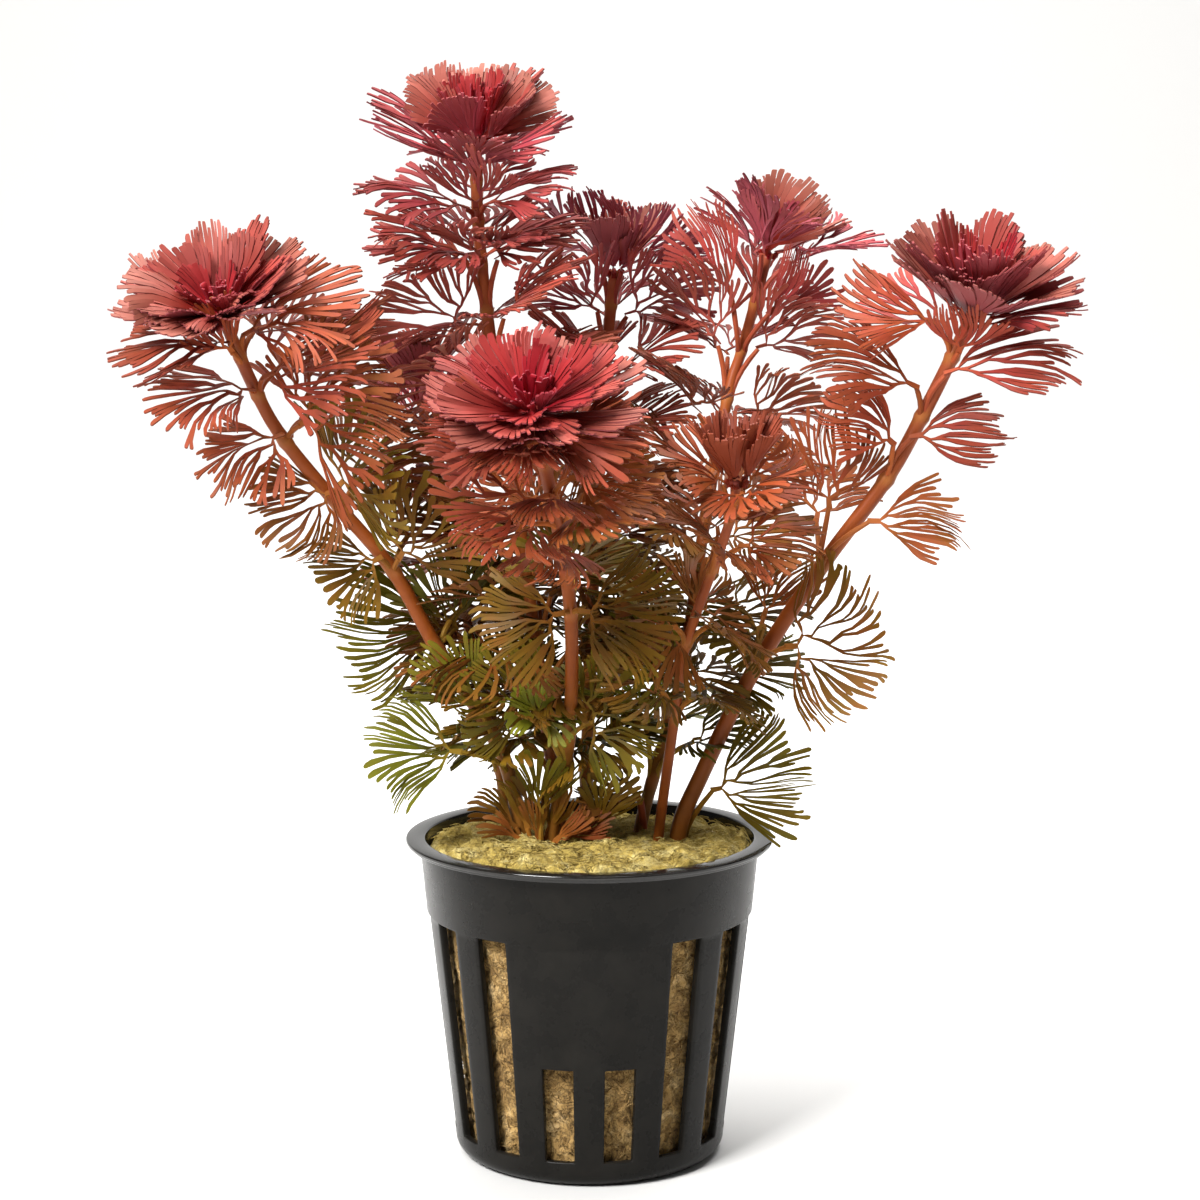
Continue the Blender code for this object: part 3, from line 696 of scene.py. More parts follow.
def blade(leaf, luck):
    """A leaf's fan of strips, bent into a shallow cup, with its hub at the origin and its middle on X."""
    bm = bmesh.new()
    for name in ("along", "strip", "under"):
        bm.verts.layers.float.new(name)
    side = bm.faces.layers.float.new("side")
    root = [bm.verts.new((HUB[0], edge * HUB[1], 0)) for edge in (1, -1)]
    bm.edges.new(root)
    half = radians(leaf["spread"]) / 2
    grow_branch(bm, tuple(root), Vector((HUB[0], 0, 0)), Vector((1, 0, 0)), (-half, half), 0, leaf, luck)
    bmesh.ops.recalc_face_normals(bm, faces=bm.faces)
    bmesh.ops.solidify(bm, geom=bm.faces, thickness=LEAF_THICKNESS)
    bm.normal_update()
    # Edge faces are marked, so that painted shade can darken the thin edges of the strips.
    for face in bm.faces:
        face[side] = float(abs(face.normal.z) < 0.5)
    reach = leaf["reach"] * MM
    seed = luck.uniform(0, 100)
    for vert in bm.verts:
        radius = hypot(vert.co.x, vert.co.y)
        angle = atan2(vert.co.y, vert.co.x)
        uneven = noise.noise(Vector((angle * WOBBLE_WAVES[0], seed, radius / reach * WOBBLE_WAVES[1])))
        rise = radians(leaf["cup"] + leaf["curl"] * radius / reach + leaf["wobble"] * uneven)
        drift = noise.noise(Vector((angle * SWAY_WAVES[0], seed + 30, radius / reach * SWAY_WAVES[1])))
        sway = drift * radians(leaf["sway"]) * radius / reach
        around = (angle + sway) / cos(radians(leaf["cup"] + leaf["curl"]))
        outward = Vector((cos(around), sin(around), 0))
        upward = Vector((0, 0, 1))
        vert.co = (
            radius * (cos(rise) * outward + sin(rise) * upward)
            + vert.co.z * (cos(rise) * upward - sin(rise) * outward)
        )
    bmesh.ops.recalc_face_normals(bm, faces=bm.faces)
    bm.normal_update()
    under = bm.verts.layers.float["under"]
    for vert in bm.verts:
        facing_up = vert.normal.z * cos(radians(leaf["cup"])) - vert.normal.x * sin(radians(leaf["cup"]))
        vert[under] = float(facing_up < 0)
    return bm


def add_leaf(whole, root, hub, blade_at, leaf, luck, age):
    """Joins one leaf to the whorl: a stalk from its root to its hub, and the blade in its own frame."""
    steep = root + (hub - root).length * STEEPNESS * Vector((0, 0, 1)).lerp(blade_at.col[2].xyz, 0.5)
    points = []
    for step in range(STALK_STEPS + 1):
        t = step / STALK_STEPS
        points.append(root.lerp(steep, t).lerp(steep.lerp(hub, t), t))
    stalk = bmesh.new()
    foot, middle, end = STALK_RADII
    tube(stalk, points, [foot, *[middle] * (STALK_STEPS - 1), end], STALK_SIDES)
    along = stalk.verts.layers.float.new("along")
    for vert in stalk.verts:
        vert[along] = -0.5 + 0.5 * min((vert.co - root).length / (hub - root).length, 1)
    fan = blade(leaf, luck)
    fan.transform(blade_at)
    shade = luck.random()
    for part in (stalk, fan):
        bmesh.ops.recalc_face_normals(part, faces=part.faces)
        for name, value in (("age", age), ("shade", shade)):
            layer = part.verts.layers.float.new(name)
            for vert in part.verts:
                vert[layer] = value
        join(whole, part)


def add_whorl_leaf(whole, frame_at, leaf, luck, age):
    """Adds one leaf that stands at this frame, along its X."""
    stalk, lift = leaf["stalk"] * MM, radians(leaf["lift"])
    root = Vector((leaf["inner"] * MM, 0, 0))
    hub = root + Vector((stalk * cos(lift), 0, stalk * sin(lift)))
    pitch, roll = radians(leaf["pitch"]), radians(leaf["roll"])
    tilt = Matrix.Rotation(-pitch, 4, "Y") @ Matrix.Rotation(roll, 4, "X")
    blade_at = frame_at @ Matrix.Translation(hub) @ tilt
    add_leaf(whole, frame_at @ root, frame_at @ hub, blade_at, leaf, luck, age)


def add_placed_leaf(whole, row, luck, shape=None):
    """Adds one leaf from its row. Without a shape of its own it has that of its age."""
    root, hub, tip, toward, spread, age = row
    root, hub, tip = [Vector(place) * MM for place in (root, hub, tip)]
    along = (tip - hub).normalized()
    across = Vector(toward).cross(along).normalized()
    axes = Matrix((along, across, along.cross(across))).transposed().to_4x4()
    if shape is None:
        shape = OLD_LEAF | {"spacing": 1.3}
        if age <= 0.5:
            shape = YOUNG_LEAF | {"broad": 0.5, "web": 0.06, "spacing": 1.1}
    leaf = shape | {
        "reach": luck.uniform(1.0, 1.12) * (tip - hub).length / MM, "spread": spread,
        "cup": luck.uniform(5, 18), "curl": luck.uniform(-24, -2),
    }
    add_leaf(whole, root, hub, Matrix.Translation(hub) @ axes, leaf, luck, age)


# Fresh leaf tissue, slightly waxy: each strip is a little lighter or darker than the next, and painted
# shade darkens its thin edge. Its colour goes with the leaf's age, from rusty red under the crown through
# orange-brown and olive to green; the old leaves' olive is darkened further as painted shade.
STRIP_LIGHT = (0.85, 1.15)
UNDERSIDE_SHARE = 0.6


def both_sides(tree, upper, lower, leaf_light, painted_edge_shade):
    """The upper side's colour, varied by leaf and strip, with painted shade on the edges and the
    underside's below.
    """
    light = 1
    for name, (least, most) in (("shade", leaf_light), ("strip", STRIP_LIGHT), ("side", (1, painted_edge_shade))):
        value = add(tree, "Attribute", attribute_name=name).outputs["Fac"]
        share = add(tree, "MapRange", {"Value": value, "To Min": least, "To Max": most})
        light = add(tree, "Math", {0: light, 1: share}, operation="MULTIPLY")
    lit = add(tree, "HueSaturation", {"Color": upper, "Value": light})
    under = add(tree, "Attribute", attribute_name="under").outputs["Fac"]
    below = add(tree, "Math", {0: under, 1: UNDERSIDE_SHARE}, operation="MULTIPLY")
    return add(tree, "Mix", {"Factor": below, "A": lit, "B": lower}, data_type="RGBA")


leaf_tissue, tree, shader = material("Ageing cabomba leaf", Roughness=0.5, IOR=1.4,
                                     Specular_IOR_Level=0.16)
where = add(tree, "TexCoord").outputs["Object"]
even_age = add(tree, "Attribute", attribute_name="age").outputs["Fac"]
blotch = add(tree, "TexNoise", {"Vector": where, "Scale": 220, "Detail": 4})
uneven = add(tree, "MapRange", {"Value": blotch, "To Min": -0.14, "To Max": 0.14})
age = add(tree, "Math", {0: even_age, 1: uneven}, operation="ADD", use_clamp=True)
stalk_colour = add(tree, "ValToRGB", {"Fac": age},
                   ((0.0, "#BC5044"), (0.35, "#B85E32"), (0.7, "#A8702C"), (1.0, "#AC8C30")))
# The old olive stops here and on the tips are also painted shade: darker than the leaves' own colour.
strip_colour = add(tree, "ValToRGB", {"Fac": age},
                   ((0.0, "#A63A48"), (0.2, "#9E3A34"), (0.42, "#903E20"), (0.65, "#66440C"),
                    (0.86, "#50480A"), (1.0, "#74781A")))
tip_colour = add(tree, "ValToRGB", {"Fac": age},
                 ((0.0, "#A44450"), (0.2, "#9C4438"), (0.42, "#94492A"), (0.65, "#785816"),
                  (0.86, "#6A6016"), (1.0, "#8C8C2C")))
underside = add(tree, "ValToRGB", {"Fac": age},
                ((0.0, "#A45468"), (0.2, "#A05048"), (0.65, "#785A1E"), (1.0, "#7E8C2E")))
along = add(tree, "Attribute", attribute_name="along").outputs["Fac"]
on_strips = add(tree, "MapRange", {"Value": along, "From Max": 0.35})
on_tips = add(tree, "MapRange", {"Value": along, "From Min": 0.45})
upper = add(tree, "Mix", {"Factor": on_strips, "A": stalk_colour, "B": strip_colour}, data_type="RGBA")
upper = add(tree, "Mix", {"Factor": on_tips, "A": upper, "B": tip_colour}, data_type="RGBA")
fine = add(tree, "TexNoise", {"Vector": where, "Scale": 3000, "Detail": 3})
bump = add(tree, "Bump", {"Height": fine, "Strength": 0.2, "Distance": 0.06 * MM})
whole_leaf = both_sides(tree, upper, underside, leaf_light=(0.58, 0.94), painted_edge_shade=0.5)
connect(tree, shader, {"Base Color": whole_leaf, "Normal": bump})

# Leaves that stand out in their whorl are placed one by one. A row is the root, the hub and the middle
# of the tips in mm, the way the upper side faces, the spread in degrees, and the age of the leaf.
PLACED_LEAVES = {
    ("left", 66): (
        ((-12.8, -0.8, 59.5), (-19.8, -7, 64.4), (-33.4, -9, 65.8), (0.1, -1, 0.3), 106, 0.92),
        ((-14.6, -1, 65), (-12, 4, 70), (-6, 10, 80), (0.3, -1, 0.4), 150, 0.8),
        ((-15, -1.4, 65), (-17, -5, 71), (-24, -9, 80), (-0.3, -1, 0.3), 90, 0.86),
    ),
    ("left", 80): (
        ((-23.5, -2, 80), (-21.4, 3, 81.8), (-39, -2, 83.6), (0, -1, 0.3), 95, 0.84),
        ((-23, -2, 80), (-20.8, 1, 82.4), (-22.9, -2, 94), (0.1, -1, 0.2), 100, 0.84),
        ((-22.8, -1.4, 80.4), (-20, 4, 85), (-14, 13, 92), (0, -1, 0.5), 110, 0.84),
    ),
    ("left", 92): (
        ((-30.4, -4.5, 92), (-31.7, -6.4, 94.1), (-41, -10, 90), (-0.1, -1, 0.35), 126, 0.66),
        ((-29.6, -4.5, 92), (-28.8, -6.4, 94.1), (-22.2, -12, 104.5), (0.1, -1, 0.4), 138, 0.62),
        ((-29.6, -3, 92.5), (-28.7, -0.8, 95.5), (-22, 10, 106), (-0.1, -1, 0.6), 138, 0.64),
    ),
    ("left", 101.5): (
        ((-37.4, -6, 101.5), (-38.6, -8.2, 104.5), (-48.5, -15, 99.9), (-0.1, -1, 0.35), 138, 0.54),
        ((-37, -6, 101.8), (-37.5, -9.3, 105.4), (-28.4, -19, 114), (0.1, -1, 0.4), 150, 0.68),
        ((-37, -4.5, 102), (-35.4, -2, 105.3), (-25, 8, 115), (-0.1, -1, 0.6), 138, 0.56),
    ),
    ("left", 112): (
        ((-45.8, -7.8, 112), (-46, -9.6, 113.1), (-57, -16, 107.8), (-0.3, -0.7, 0.6), 126, 0.42),
        ((-45, -8, 112), (-43, -10.8, 114.6), (-28.4, -21, 122.1), (0.1, -1, 0.4), 132, 0.44),
        ((-45, -6.5, 112.5), (-43.4, -4, 115), (-34, 7, 124), (-0.1, -1, 0.6), 138, 0.42),
    ),
    ("left", 119): (
        ((-49.8, -9, 118.8), (-50.1, -10.7, 119.6), (-64, -18, 118.6), (-0.2, -0.5, 0.8), 122, 0.34),
        ((-49, -9, 119), (-48.3, -11.2, 121.8), (-31.5, -20, 128.1), (0.2, -0.7, 0.6), 103, 0.32),
        ((-49.2, -8, 119), (-47.7, -5.2, 121.8), (-37, 6, 131), (-0.1, -1, 0.6), 126, 0.32),
    ),
    ("left", 125): (
        ((-51.9, -10.8, 124.8), (-53.1, -12.8, 126.7), (-68.6, -18, 126), (-0.2, -0.4, 0.9), 110, 0.3),
        ((-51.3, -10.8, 125), (-51, -12.8, 128), (-36.3, -20, 135.4), (0.3, -0.6, 0.7), 103, 0.38),
        ((-51.7, -11.4, 124), (-52.6, -13.1, 125.5), (-56.1, -19, 131.7), (-0.1, -1, 0.2), 98, 0.4),
        ((-51.4, -9.6, 125), (-50.6, -7.6, 127.8), (-44, 2, 138), (0, -1, 0.8), 126, 0.36),
    ),
    ("top", 138.5): (
        ((-17.4, 9, 138.5), (-18.5, 7.3, 139.2), (-33.2, 2, 139.4), (-0.1, -0.5, 0.8), 110, 0.2),
        ((-16.4, 9, 138.5), (-15.8, 7.3, 139.7), (-4, 2, 146), (0.1, -0.4, 0.9), 103, 0.2),
        ((-17, 8.4, 137.8), (-17.2, 6.3, 139.6), (-18, -5, 144.5), (0, -0.6, 1), 103, 0.24),
        ((-16.8, 11, 138.5), (-16.6, 13.2, 141.5), (-15, 25, 150), (0, -1, 0.6), 126, 0.2),
    ),
    ("top", 145): (
        ((-17.8, 9, 145), (-18.8, 7.3, 146.5), (-35.4, 3, 148.8), (-0.1, -0.42, 0.9), 103, 0.14),
        ((-16.8, 9, 145), (-16, 7.3, 147.2), (-0.7, 3, 151.4), (0.1, -0.35, 0.9), 97, 0.16),
        ((-17.3, 8.5, 144.5), (-17.4, 6, 146.7), (-18, -6, 152.5), (0, -0.6, 1), 103, 0.18),
        ((-17.2, 11, 145), (-17.1, 13.2, 148.3), (-16, 25, 157), (0, -1, 0.6), 126, 0.14),
    ),
    ("top", 151): (
        ((-17.8, 8.8, 151), (-18.7, 7.3, 153.2), (-34.8, 4, 159.7), (-0.1, -0.22, 1), 97, 0.1),
        ((-17, 8.8, 151), (-16.4, 7.3, 153), (-3.4, 4, 160), (0.1, -0.3, 1), 92, 0.1),
        ((-17.5, 8.2, 150.5), (-17.7, 5.9, 152.4), (-18, -6, 157), (0, -0.5, 1), 103, 0.12),
        ((-17.5, 10.5, 151), (-17.5, 12.4, 154.3), (-18, 24, 162), (0, -1, 0.6), 115, 0.1),
    ),
    ("front", 66.5): (
        ((-3.4, -8, 65), (-0.6, -13, 69.7), (10.4, -16, 73.2), (0, -1, 0.35), 190, 0.8),
        ((-4, -7, 62), (-7.5, -10, 70.6), (-12.9, -12, 73), (0, -0.8, 0.6), 120, 0.94),
        ((-4, -7, 62), (-7, -10, 70), (-1.4, -13, 68.4), (0, -0.8, 0.6), 90, 0.9),
        ((-4, -7, 62), (-7.8, -9.6, 70.4), (-8, -11, 75.8), (0, -1, 0.3), 90, 0.94),
        ((-3.6, -7, 64), (-9, -6, 70), (-20, -8, 76), (0, -1, 0.4), 150, 0.8),
    ),
    ("front", 87.3): (
        ((-2.9, -18.4, 87), (-3.9, -21.5, 87.7), (-16.4, -25, 86), (-0.1, -1, 0.5), 120, 0.64),
        ((-2.3, -18.4, 87), (-1.2, -21.5, 88), (12.4, -25, 87), (0.1, -1, 0.5), 125, 0.66),
        ((-2.6, -16.5, 87), (-2, -12, 92), (2, -2, 98), (0, -1, 0.8), 190, 0.74),
    ),
    ("front", 98.5): (
        ((-4.2, -24.5, 98.5), (-7.8, -31, 101.9), (-13.6, -42, 99.4), (-0.2, -1, 0.6), 130, 0.42),
        ((-3.6, -24.5, 98.5), (-0.5, -32, 104.6), (6, -43, 101), (0.2, -1, 0.6), 130, 0.46),
        ((-3.8, -23, 98.8), (-1, -19, 105), (8, -14, 111), (0.2, -1, 0.6), 150, 0.46),
        ((-4, -23, 98.8), (-7, -19, 104), (-15, -14, 109), (-0.2, -1, 0.6), 140, 0.46),
        ((-3.8, -26, 98), (-4.4, -31, 98.6), (-5.5, -41, 95.4), (0, -0.8, 0.7), 96, 0.44),
    ),
    ("front", 105): (
        ((-5.4, -28.8, 105), (-7.6, -34, 105.4), (-22, -38, 107.4), (-0.2, -1, 0.45), 116, 0.36),
        ((-4.8, -28.8, 105), (-2.5, -34, 108.6), (9.6, -39, 110), (0.2, -1, 0.45), 126, 0.48),
        ((-5, -27, 105.5), (-8, -22, 112), (-18, -16, 117), (-0.2, -1, 0.6), 130, 0.36),
        ((-4.6, -27, 105.5), (-1.5, -22, 111), (7, -15, 116), (0.2, -1, 0.6), 130, 0.4),
        ((-5, -29.6, 104.6), (-5, -34, 105.6), (-4.6, -44, 104), (0, -0.8, 0.7), 90, 0.38),
        ((-4.2, -24, 98.5), (-3.6, -22, 98.8), (-1.6, -16, 108.6), (0, -1, 0.3), 120, 0.5),
    ),
    ("front", 110.5): (
        ((-6.8, -31.5, 110.5), (-9.4, -36, 112.6), (-22.4, -40, 116.6), (-0.2, -1, 0.5), 92, 0.28),
        ((-6.2, -31.5, 110.5), (-3, -36, 113.6), (8.6, -40, 117.6), (0.2, -1, 0.5), 88, 0.34),
        ((-6.4, -32.4, 110), (-6.4, -37, 111), (-7, -46, 114.4), (0, -0.6, 1), 100, 0.3),
        ((-7.2, -33, 112), (-9, -38, 115), (-21.6, -44, 114.6), (-0.2, -0.7, 0.8), 76, 0.3),
        ((-6.8, -33, 112), (-8.2, -38.5, 114), (-14.4, -47, 111.8), (-0.1, -0.7, 0.8), 80, 0.32),
        ((-6.4, -33, 112), (-6.4, -38.5, 114), (-2.2, -47, 112), (0.1, -0.7, 0.8), 80, 0.34),
        ((-6, -33, 112), (-5.6, -38, 115), (6.4, -44, 114.8), (0.2, -0.7, 0.8), 76, 0.34),
        ((-6.6, -30, 110.5), (-8, -27, 115), (-10, -18, 121), (-0.1, -1, 0.6), 110, 0.3),
        ((-6, -30, 110.5), (-4, -26, 114.5), (2, -17, 120), (0.1, -1, 0.6), 110, 0.32),
        ((-6.2, -28.5, 108), (-6.8, -26.5, 108.6), (-8.4, -20, 117.4), (0, -1, 0.3), 110, 0.36),
    ),
    ("right_back", 124.5): (
        ((23.6, 17.6, 124.5), (22.3, 15, 133.6), (15.4, 11, 146), (-0.2, -1, 0), 78, 0.2),
        ((24.6, 17.6, 124.5), (28.3, 14.5, 130.5), (36.4, 11, 138.7), (0.1, -1, 0), 76, 0.16),
        ((24.2, 19, 124.5), (27, 22, 131), (30, 30, 141), (0.2, -1, 0.3), 100, 0.2),
    ),
    ("right", 76): (
        ((25.6, -2.5, 76), (30, -8, 80.8), (45, -10, 81.6), (0, -1, 0.35), 165, 0.6),
        ((24.8, -3, 76.5), (26.6, -5, 83.4), (18, -9, 82), (0, -1, 0.5), 130, 0.72),
        ((25.6, -1, 77), (27, 2, 84), (31, 6, 95), (-0.2, -1, 0), 90, 0.55),
    ),
    ("right", 92.2): (
        ((34.8, -4.6, 92.4), (36.3, -6, 102), (34.9, -9, 115.6), (0, -1, 0.2), 125, 0.44),
        ((35.4, -4.6, 92.4), (42.4, -7, 99.8), (57.2, -9, 99.5), (0.1, -1, 0.3), 76, 0.5),
        ((35, -3, 92.4), (35, 2, 99), (38, 11, 109), (0, -1, 0.5), 110, 0.48),
    ),
    ("right", 106): (
        ((44.8, -5.4, 106), (45.8, -7, 111.5), (36.6, -11, 118.3), (-0.1, -0.8, 0.4), 90, 0.36),
        ((45.4, -5.4, 106.2), (48.6, -7, 112.5), (62, -10, 115), (0.1, -0.6, 0.7), 84, 0.3),
    ),
    ("right", 115.5): (
        ((49.8, -5.5, 115.5), (49, -8, 120), (32.9, -11, 126.4), (-0.4, -0.6, 0.6), 84, 0.38),
        ((50.6, -5.5, 115.8), (53.6, -7, 122), (70.9, -10, 126.1), (0.1, -0.6, 0.7), 76, 0.24),
    ),
    ("right", 124.5): (
        ((54, -6.2, 124.5), (51.6, -8, 129.4), (37.4, -11, 133.4), (-0.4, -0.6, 0.6), 84, 0.36),
        ((55, -6.2, 124.5), (57.6, -8, 129), (73, -11, 133), (0.1, -0.5, 0.8), 80, 0.16),
        ((54.6, -6.8, 124), (55.2, -8, 125.3), (55.8, -15, 133.2), (0, -1, 0.2), 92, 0.3),
        ((54.6, -4.8, 124.5), (54.3, -2.7, 128.1), (50, 8, 140), (0, -1, 0.5), 126, 0.2),
    ),
}


LEAVES_ROUND = 3
ALTERNATE_WITHIN = 16
LOW_SIZE = 0.6
LOW_HEIGHT = 50
LOW_RISE = 40


def aged(young, late, old):
    """A leaf's value, or its row of values, this far from young to old."""
    if isinstance(young, tuple):
        return [aged(*pair, old) for pair in zip(young, late)]
    return young + (late - young) * old


def whorl(whole, name, height, number, luck):
    """Adds the leaves of one joint: those that are placed, or three round the stem."""
    if (name, height) in PLACED_LEAVES:
        for row in PLACED_LEAVES[name, height]:
            add_placed_leaf(whole, row, luck)
        return
    route = routes[name]
    tip = route[-1]
    place, growth = at_height(route, height * MM)
    depth = tip.z / MM - height
    habit = STEM_HABITS[name]
    old = min(depth / habit["mature"], 1)
    rust = habit.get("rust", 0)
    age = rust + (OLDEST - rust) * min(depth / GREEN_AFTER[name], 1)
    usual = {key: aged(young, OLD_LEAF[key], old) for key, young in YOUNG_LEAF.items()}
    usual["cup"] += habit.get("raised", 0) * (1 - 0.5 * old)
    usual |= {key: value for key, value in habit.items() if key in usual}
    usual["reach"] *= habit.get("size", 1) * min(LOW_SIZE + (height - LOW_HEIGHT) / LOW_RISE, 1)
    first = 60 * (number % 2) if depth < ALTERNATE_WITHIN else 30
    for leaf_number in range(LEAVES_ROUND):
        azimuth = radians(first + leaf_number * 120 + luck.uniform(-18, 18))
        near_side_down = -1 if cos(azimuth) > 0 else 1
        roll = usual["roll"] * luck.uniform(0.3, 1.1) * near_side_down * (1 if luck.random() < 0.7 else -1)
        leaf = usual | {
            "stalk": usual["stalk"] * luck.uniform(0.88, 1.12),
            "lift": usual["lift"] + luck.uniform(-7, 7),
            "reach": usual["reach"] * luck.uniform(0.9, 1.06),
            "spread": usual["spread"] * luck.uniform(0.85, 1.05),
            "pitch": usual["pitch"] + luck.uniform(-14, 12),
            "roll": roll,
        }
        add_whorl_leaf(whole, facing(place, growth, azimuth), leaf, luck, age)


for stem_number, (name, _, _, _, held_joints, lower_joints) in enumerate(STEMS):
    luck = Random(stem_number)
    for number, height in enumerate(held_joints):
        bm = bmesh.new()
        whorl(bm, name, height, number, luck)
        leaves = add_object(f"{name}_leaves_{number + 1}", bm, leaf_tissue, SHADING_EDGE)
        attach(leaves, "root")
        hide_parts(f"{name}_whorl_{number + 1}")
    if lower_joints:
        bm = bmesh.new()
        for number, height in enumerate(lower_joints):
            whorl(bm, name, height, number + 1, luck)
        leaves = add_object(f"{name}_lower_leaves", bm, leaf_tissue, SHADING_EDGE)
        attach(leaves, "root")

# Crowns: at each tip the young leaves are packed into a rosette like a dahlia. The outer fans are broad
# and nearly closed, with short free tips, and the inner ones are smaller, steeper and deeper crimson.
# A crown has its lean, its rust and its rings from the outside in. A ring's row is the leaf count, the
# first one's azimuth, the start, cup, reach, spread and curl. Petals that stand out are placed one by
# one, in rows like those of the placed whorl leaves.
CROWNS = {
    "left": ((-0.16, -0.54), 0, (
        (7, 18, 1.2, 16, 14.8, 60, 4), (6, 48, 1.0, 28, 14.2, 64, 3), (6, 0, 0.8, 42, 11.6, 56, 0),
        (5, 30, 0.6, 58, 8, 50, 0), (4, 0, 0.3, 74, 5.4, 44, 0))),
    "top": ((-0.03, -0.2), 0, (
        (1, 150, 1.2, 30, 12.6, 70, 4), (1, 232, 1.0, 50, 14, 80, 0), (1, 294, 1.0, 50, 14, 80, 0),
        (1, 225, 0.6, 68, 11, 62, 0), (1, 270, 0.6, 70, 11, 62, 0), (1, 315, 0.6, 68, 11, 62, 0),
        (2, 0, 0.5, 64, 9.8, 56, 0), (2, 60, 0.5, 70, 8.4, 56, 0), (3, 90, 0.3, 80, 8, 46, 0))),
    "centre": ((0, -0.14), 0.15, (
        (3, 90, 1.0, 58, 12.5, 70, -6), (3, 30, 0.8, 66, 12, 60, -2), (3, 90, 0.5, 80, 9.5, 46, 0))),
    "front": ((0, -0.58), -0.08, (
        (7, 0, 1.2, 12, 15, 60, 5), (6, 30, 1.0, 21, 14.4, 62, 3), (6, 18, 0.8, 39, 12, 54, 0),
        (5, 54, 0.6, 55, 9, 48, 0), (5, 0, 0.3, 71, 5.8, 42, 0))),
    "right_back": ((0.24, -0.1), 0.12, (
        (1, 196, 1.0, 40, 12.4, 60, -4), (1, 12, 1.0, 66, 12, 46, 0), (2, 100, 0.5, 78, 9, 44, 0))),
    "right": ((0.1, -0.36), 0, (
        (5, 0, 1.2, 29, 17, 76, 4), (5, 36, 1.0, 44, 16, 70, 2), (5, 30, 0.8, 60, 14.6, 56, 0),
        (4, 0, 0.5, 75, 12.8, 46, 0))),
    "small_right": ((-0.05, -0.2), 0.75, (
        (5, 0, 1.2, 56, 10, 66, 0), (4, 45, 1.0, 66, 9.8, 60, 0), (4, 0, 0.6, 76, 7.6, 48, 0))),
    "small_left": ((-0.1, -0.1), 0.1, (
        (3, 90, 1.0, 58, 11, 70, -2), (3, 30, 0.8, 68, 10.4, 60, 0), (2, 0, 0.4, 80, 8, 46, 0))),
}
CROWN_PETALS = {
    "left": (
        ((-54.4, -14, 129.8), (-55.8, -16.4, 131.4), (-68, -20.5, 133.6), (-0.2, -0.8, 0.6), 62, 0.7),
        ((-54.2, -14, 129.6), (-55.4, -17, 130.8), (-63, -25, 129.8), (-0.1, -0.8, 0.6), 60, 0.62),
        ((-54, -14, 129.6), (-54.6, -17.2, 130.8), (-56.2, -27, 129.4), (0, -0.8, 0.6), 56, 0.56),
        ((-53.8, -14, 129.8), (-53.8, -16.8, 131.2), (-48.4, -24.5, 132.4), (0.1, -0.8, 0.6), 58, 0.6),
    ),
    "top": (
        ((-17.4, 9.2, 156), (-18, 7.8, 157), (-22.8, 3.4, 163.2), (-0.1, 1, 0.5), 92, 0.56),
        ((-17.6, 9.6, 156), (-18.8, 8.8, 157.4), (-27.2, 8, 166.2), (0.4, -1, 0.2), 66, 0.62),
        ((-17.4, 10, 156), (-17.2, 11, 158), (-15.6, 15, 169.4), (0, -1, 0.3), 72, 0.72),
        ((-17.4, 10, 156), (-17.8, 11, 158), (-21.6, 14, 168), (0.1, -1, 0.3), 60, 0.66),
        ((-17.2, 9.6, 156), (-16.4, 8.8, 157.2), (-6.4, 8, 165), (-0.4, -1, 0.2), 66, 0.66),
        ((-17.2, 10, 156), (-16.6, 10.6, 157.6), (-9.6, 12.5, 167), (-0.3, -1, 0.2), 60, 0.7),
    ),
    "right_back": (
        ((28.2, 17.8, 139.4), (28.3, 16.8, 141), (32.4, 14.5, 151.4), (0, -1, 0.35), 92, 0.74),
        ((28.2, 18.2, 139.4), (28.4, 18.6, 141), (29.4, 20.5, 152), (0, -1, 0.3), 84, 0.62),
        ((28.2, 17.6, 139.4), (28.4, 16.2, 140.8), (36.4, 12.5, 147.6), (0.1, -1, 0.5), 60, 0.78),
        ((28, 17.6, 139.4), (27.8, 16.4, 140.8), (25.6, 12, 150), (0, 1, 0.4), 56, 0.5),
    ),
}
CROWN_LEAF = {
    "forks": (0.06, 0.14, 0.28, 0.48, 0.74), "spacing": 1.1, "slim": 0.7, "broad": 1.3, "gap": 0.2,
    "wobble": 9, "sway": 12, "ragged": 0.13, "stray": 0.04, "taper": 0.36, "web": 0.3, "stalk": 1.2,
    "lift": 60, "pitch": 0,
}
RING_AGE = 0.7
HEART_START = 0.2
AGE_SCATTER = 0.08

# Young crown tissue: thin and bright, crimson in the middle, salmon towards the free tips. Painted shade
# darkens the thin edges of its strips, less than on the older leaves.
crown_tissue, tree, shader = material("Young crimson leaf", Roughness=0.48, IOR=1.4,
                                      Specular_IOR_Level=0.18)
ring = add(tree, "Attribute", attribute_name="age").outputs["Fac"]
heart = add(tree, "ValToRGB", {"Fac": ring},
            ((0.0, "#A81028"), (0.35, "#A01820"), (0.7, "#96261E"), (1.0, "#842A16")))
tips = add(tree, "ValToRGB", {"Fac": ring},
           ((0.0, "#B02030"), (0.35, "#AE3E3A"), (0.7, "#B06A5A"), (1.0, "#964A36")))
outside = add(tree, "ValToRGB", {"Fac": ring}, ((0.7, "#964652"), (1.0, "#8A4028")))
along = add(tree, "Attribute", attribute_name="along").outputs["Fac"]
on_tips = add(tree, "MapRange", {"Value": along, "From Min": 0.2, "From Max": 0.95})
petal = add(tree, "Mix", {"Factor": on_tips, "A": heart, "B": tips}, data_type="RGBA")
whole_petal = both_sides(tree, petal, outside, leaf_light=(0.54, 0.76), painted_edge_shade=0.75)
connect(tree, shader, {"Base Color": whole_petal})

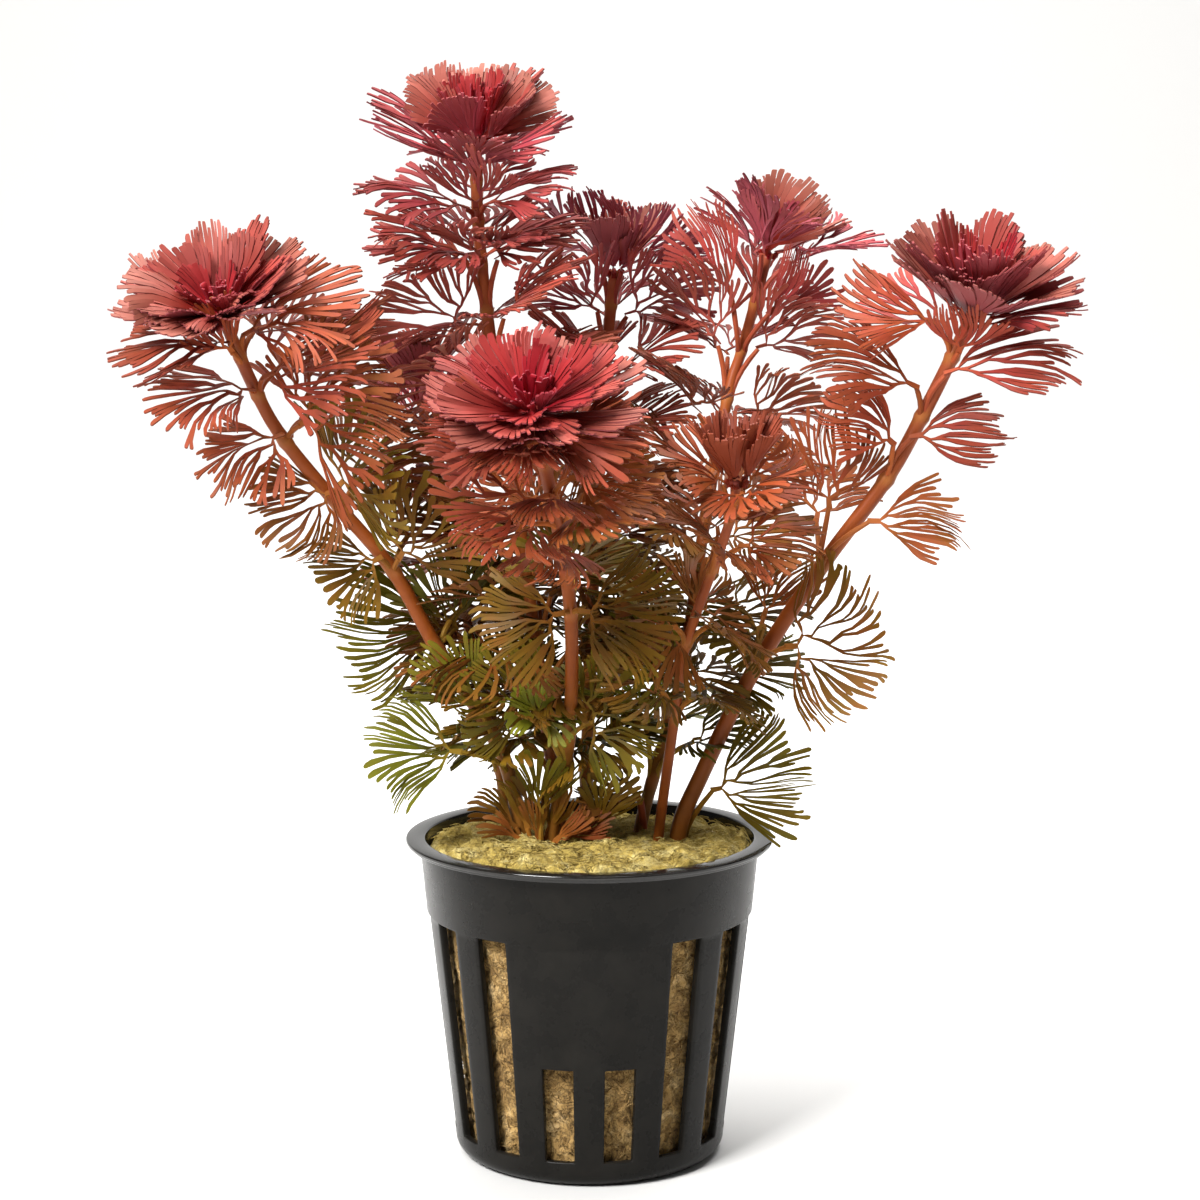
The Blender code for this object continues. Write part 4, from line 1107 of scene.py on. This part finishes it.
for stem_number, (name, (lean, rust, rings)) in enumerate(CROWNS.items()):
    luck = Random(100 + stem_number)
    tip = routes[name][-1]
    growth = Vector((*lean, 1)).normalized()
    bm = bmesh.new()
    for count, first, start, cup, reach, spread, curl in rings:
        for leaf_number in range(count):
            azimuth = radians(first + 360 * leaf_number / count + luck.uniform(-9, 9))
            leaf = CROWN_LEAF | {
                "reach": reach * luck.uniform(0.9, 1.08), "spread": spread * luck.uniform(0.85, 1.15),
                "cup": cup + luck.uniform(-7, 7), "roll": luck.uniform(-12, 12),
                "inner": start, "curl": curl,
            }
            age = RING_AGE * (start - HEART_START) + rust + luck.uniform(-AGE_SCATTER, AGE_SCATTER)
            add_whorl_leaf(bm, facing(tip - growth * MM, growth, azimuth), leaf, luck, age)
    for row in CROWN_PETALS.get(name, ()):
        add_placed_leaf(bm, row, luck, CROWN_LEAF)
    crown = add_object(f"{name}_rosette", bm, crown_tissue, SHADING_EDGE)
    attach(crown, "root")
    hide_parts(name + "_crown")

# Foot of the plant: a young shoot with two small leaves, short old leaves that come straight out of the
# wool in front of the stems, and one long-stalked leaf on the right that droops over the rim.
SHOOT_ROUTE = ((8.4, 3.4, 38), (8.4, 3.4, 44), (8.5, 3, 50), (7.9, 0, 55.5))
SHOOT_RADIUS = 0.6 * MM
SHOOT_STEPS = 12
SHOOT_SIDES = 14
FOOT_LEAVES = (
    ((-10.2, -0.6, 47), (-11.4, -1.8, 51.5), (-18, -4, 57.8), (0, -1, 0.3), 50, 0.62),
    ((-9.6, -1.4, 47), (-11, -3, 50), (-15.8, -5, 54), (-0.2, -1, 0.3), 40, 0.56),
    ((-8.8, -1, 47), (-9.6, -2.4, 51.5), (-12, -4, 60), (0, -1, 0.2), 46, 0.66),
    ((-8, -1.8, 47), (-8, -3.6, 50.5), (-8.6, -6, 58), (0, -1, 0.2), 50, 0.58),
    ((-7.2, -1, 47), (-6.4, -2.6, 51), (-3, -5, 59), (0, -1, 0.3), 50, 0.64),
    ((-6.4, -1.6, 47), (-5, -3.6, 50), (0, -6, 55.5), (0.1, -1, 0.3), 46, 0.56),
    ((-5.6, -0.6, 47), (-3.4, -2.4, 50), (5.2, -5, 53.4), (0, -1, 0.5), 48, 0.5),
    ((-7.6, -2, 47), (-7.5, -4.5, 54), (-6.5, -7, 65), (0.1, -1, 0.2), 70, 0.82),
    ((0.5, -1.6, 47), (1.5, -4, 52), (4, -7, 60.5), (0, -1, 0.3), 80, 0.7),
    ((7.9, 0, 55), (6.4, -2, 57.5), (0.5, -5, 62.5), (0.1, -1, 0.4), 100, 0.7),
    ((7.9, 0, 55), (6, -2, 56), (-1.5, -5, 55), (0, -1, 0.7), 70, 0.6),
    ((15.2, 4.8, 47), (19.2, -3, 57.7), (34, -8, 62), (0.1, -1, 0.25), 110, 0.78),
)
bm = bmesh.new()
tube(bm, list(smooth_route(SHOOT_ROUTE, SHOOT_STEPS)), [SHOOT_RADIUS] * (SHOOT_STEPS + 1), SHOOT_SIDES)
shoot = add_object("young_shoot_stem", bm, living_stem)
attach(shoot, "root")
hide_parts("young_shoot")

luck = Random(300)
bm = bmesh.new()
for row in FOOT_LEAVES:
    add_placed_leaf(bm, row, luck)
foot_leaves = add_object("foot_leaves", bm, leaf_tissue, SHADING_EDGE)
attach(foot_leaves, "root")
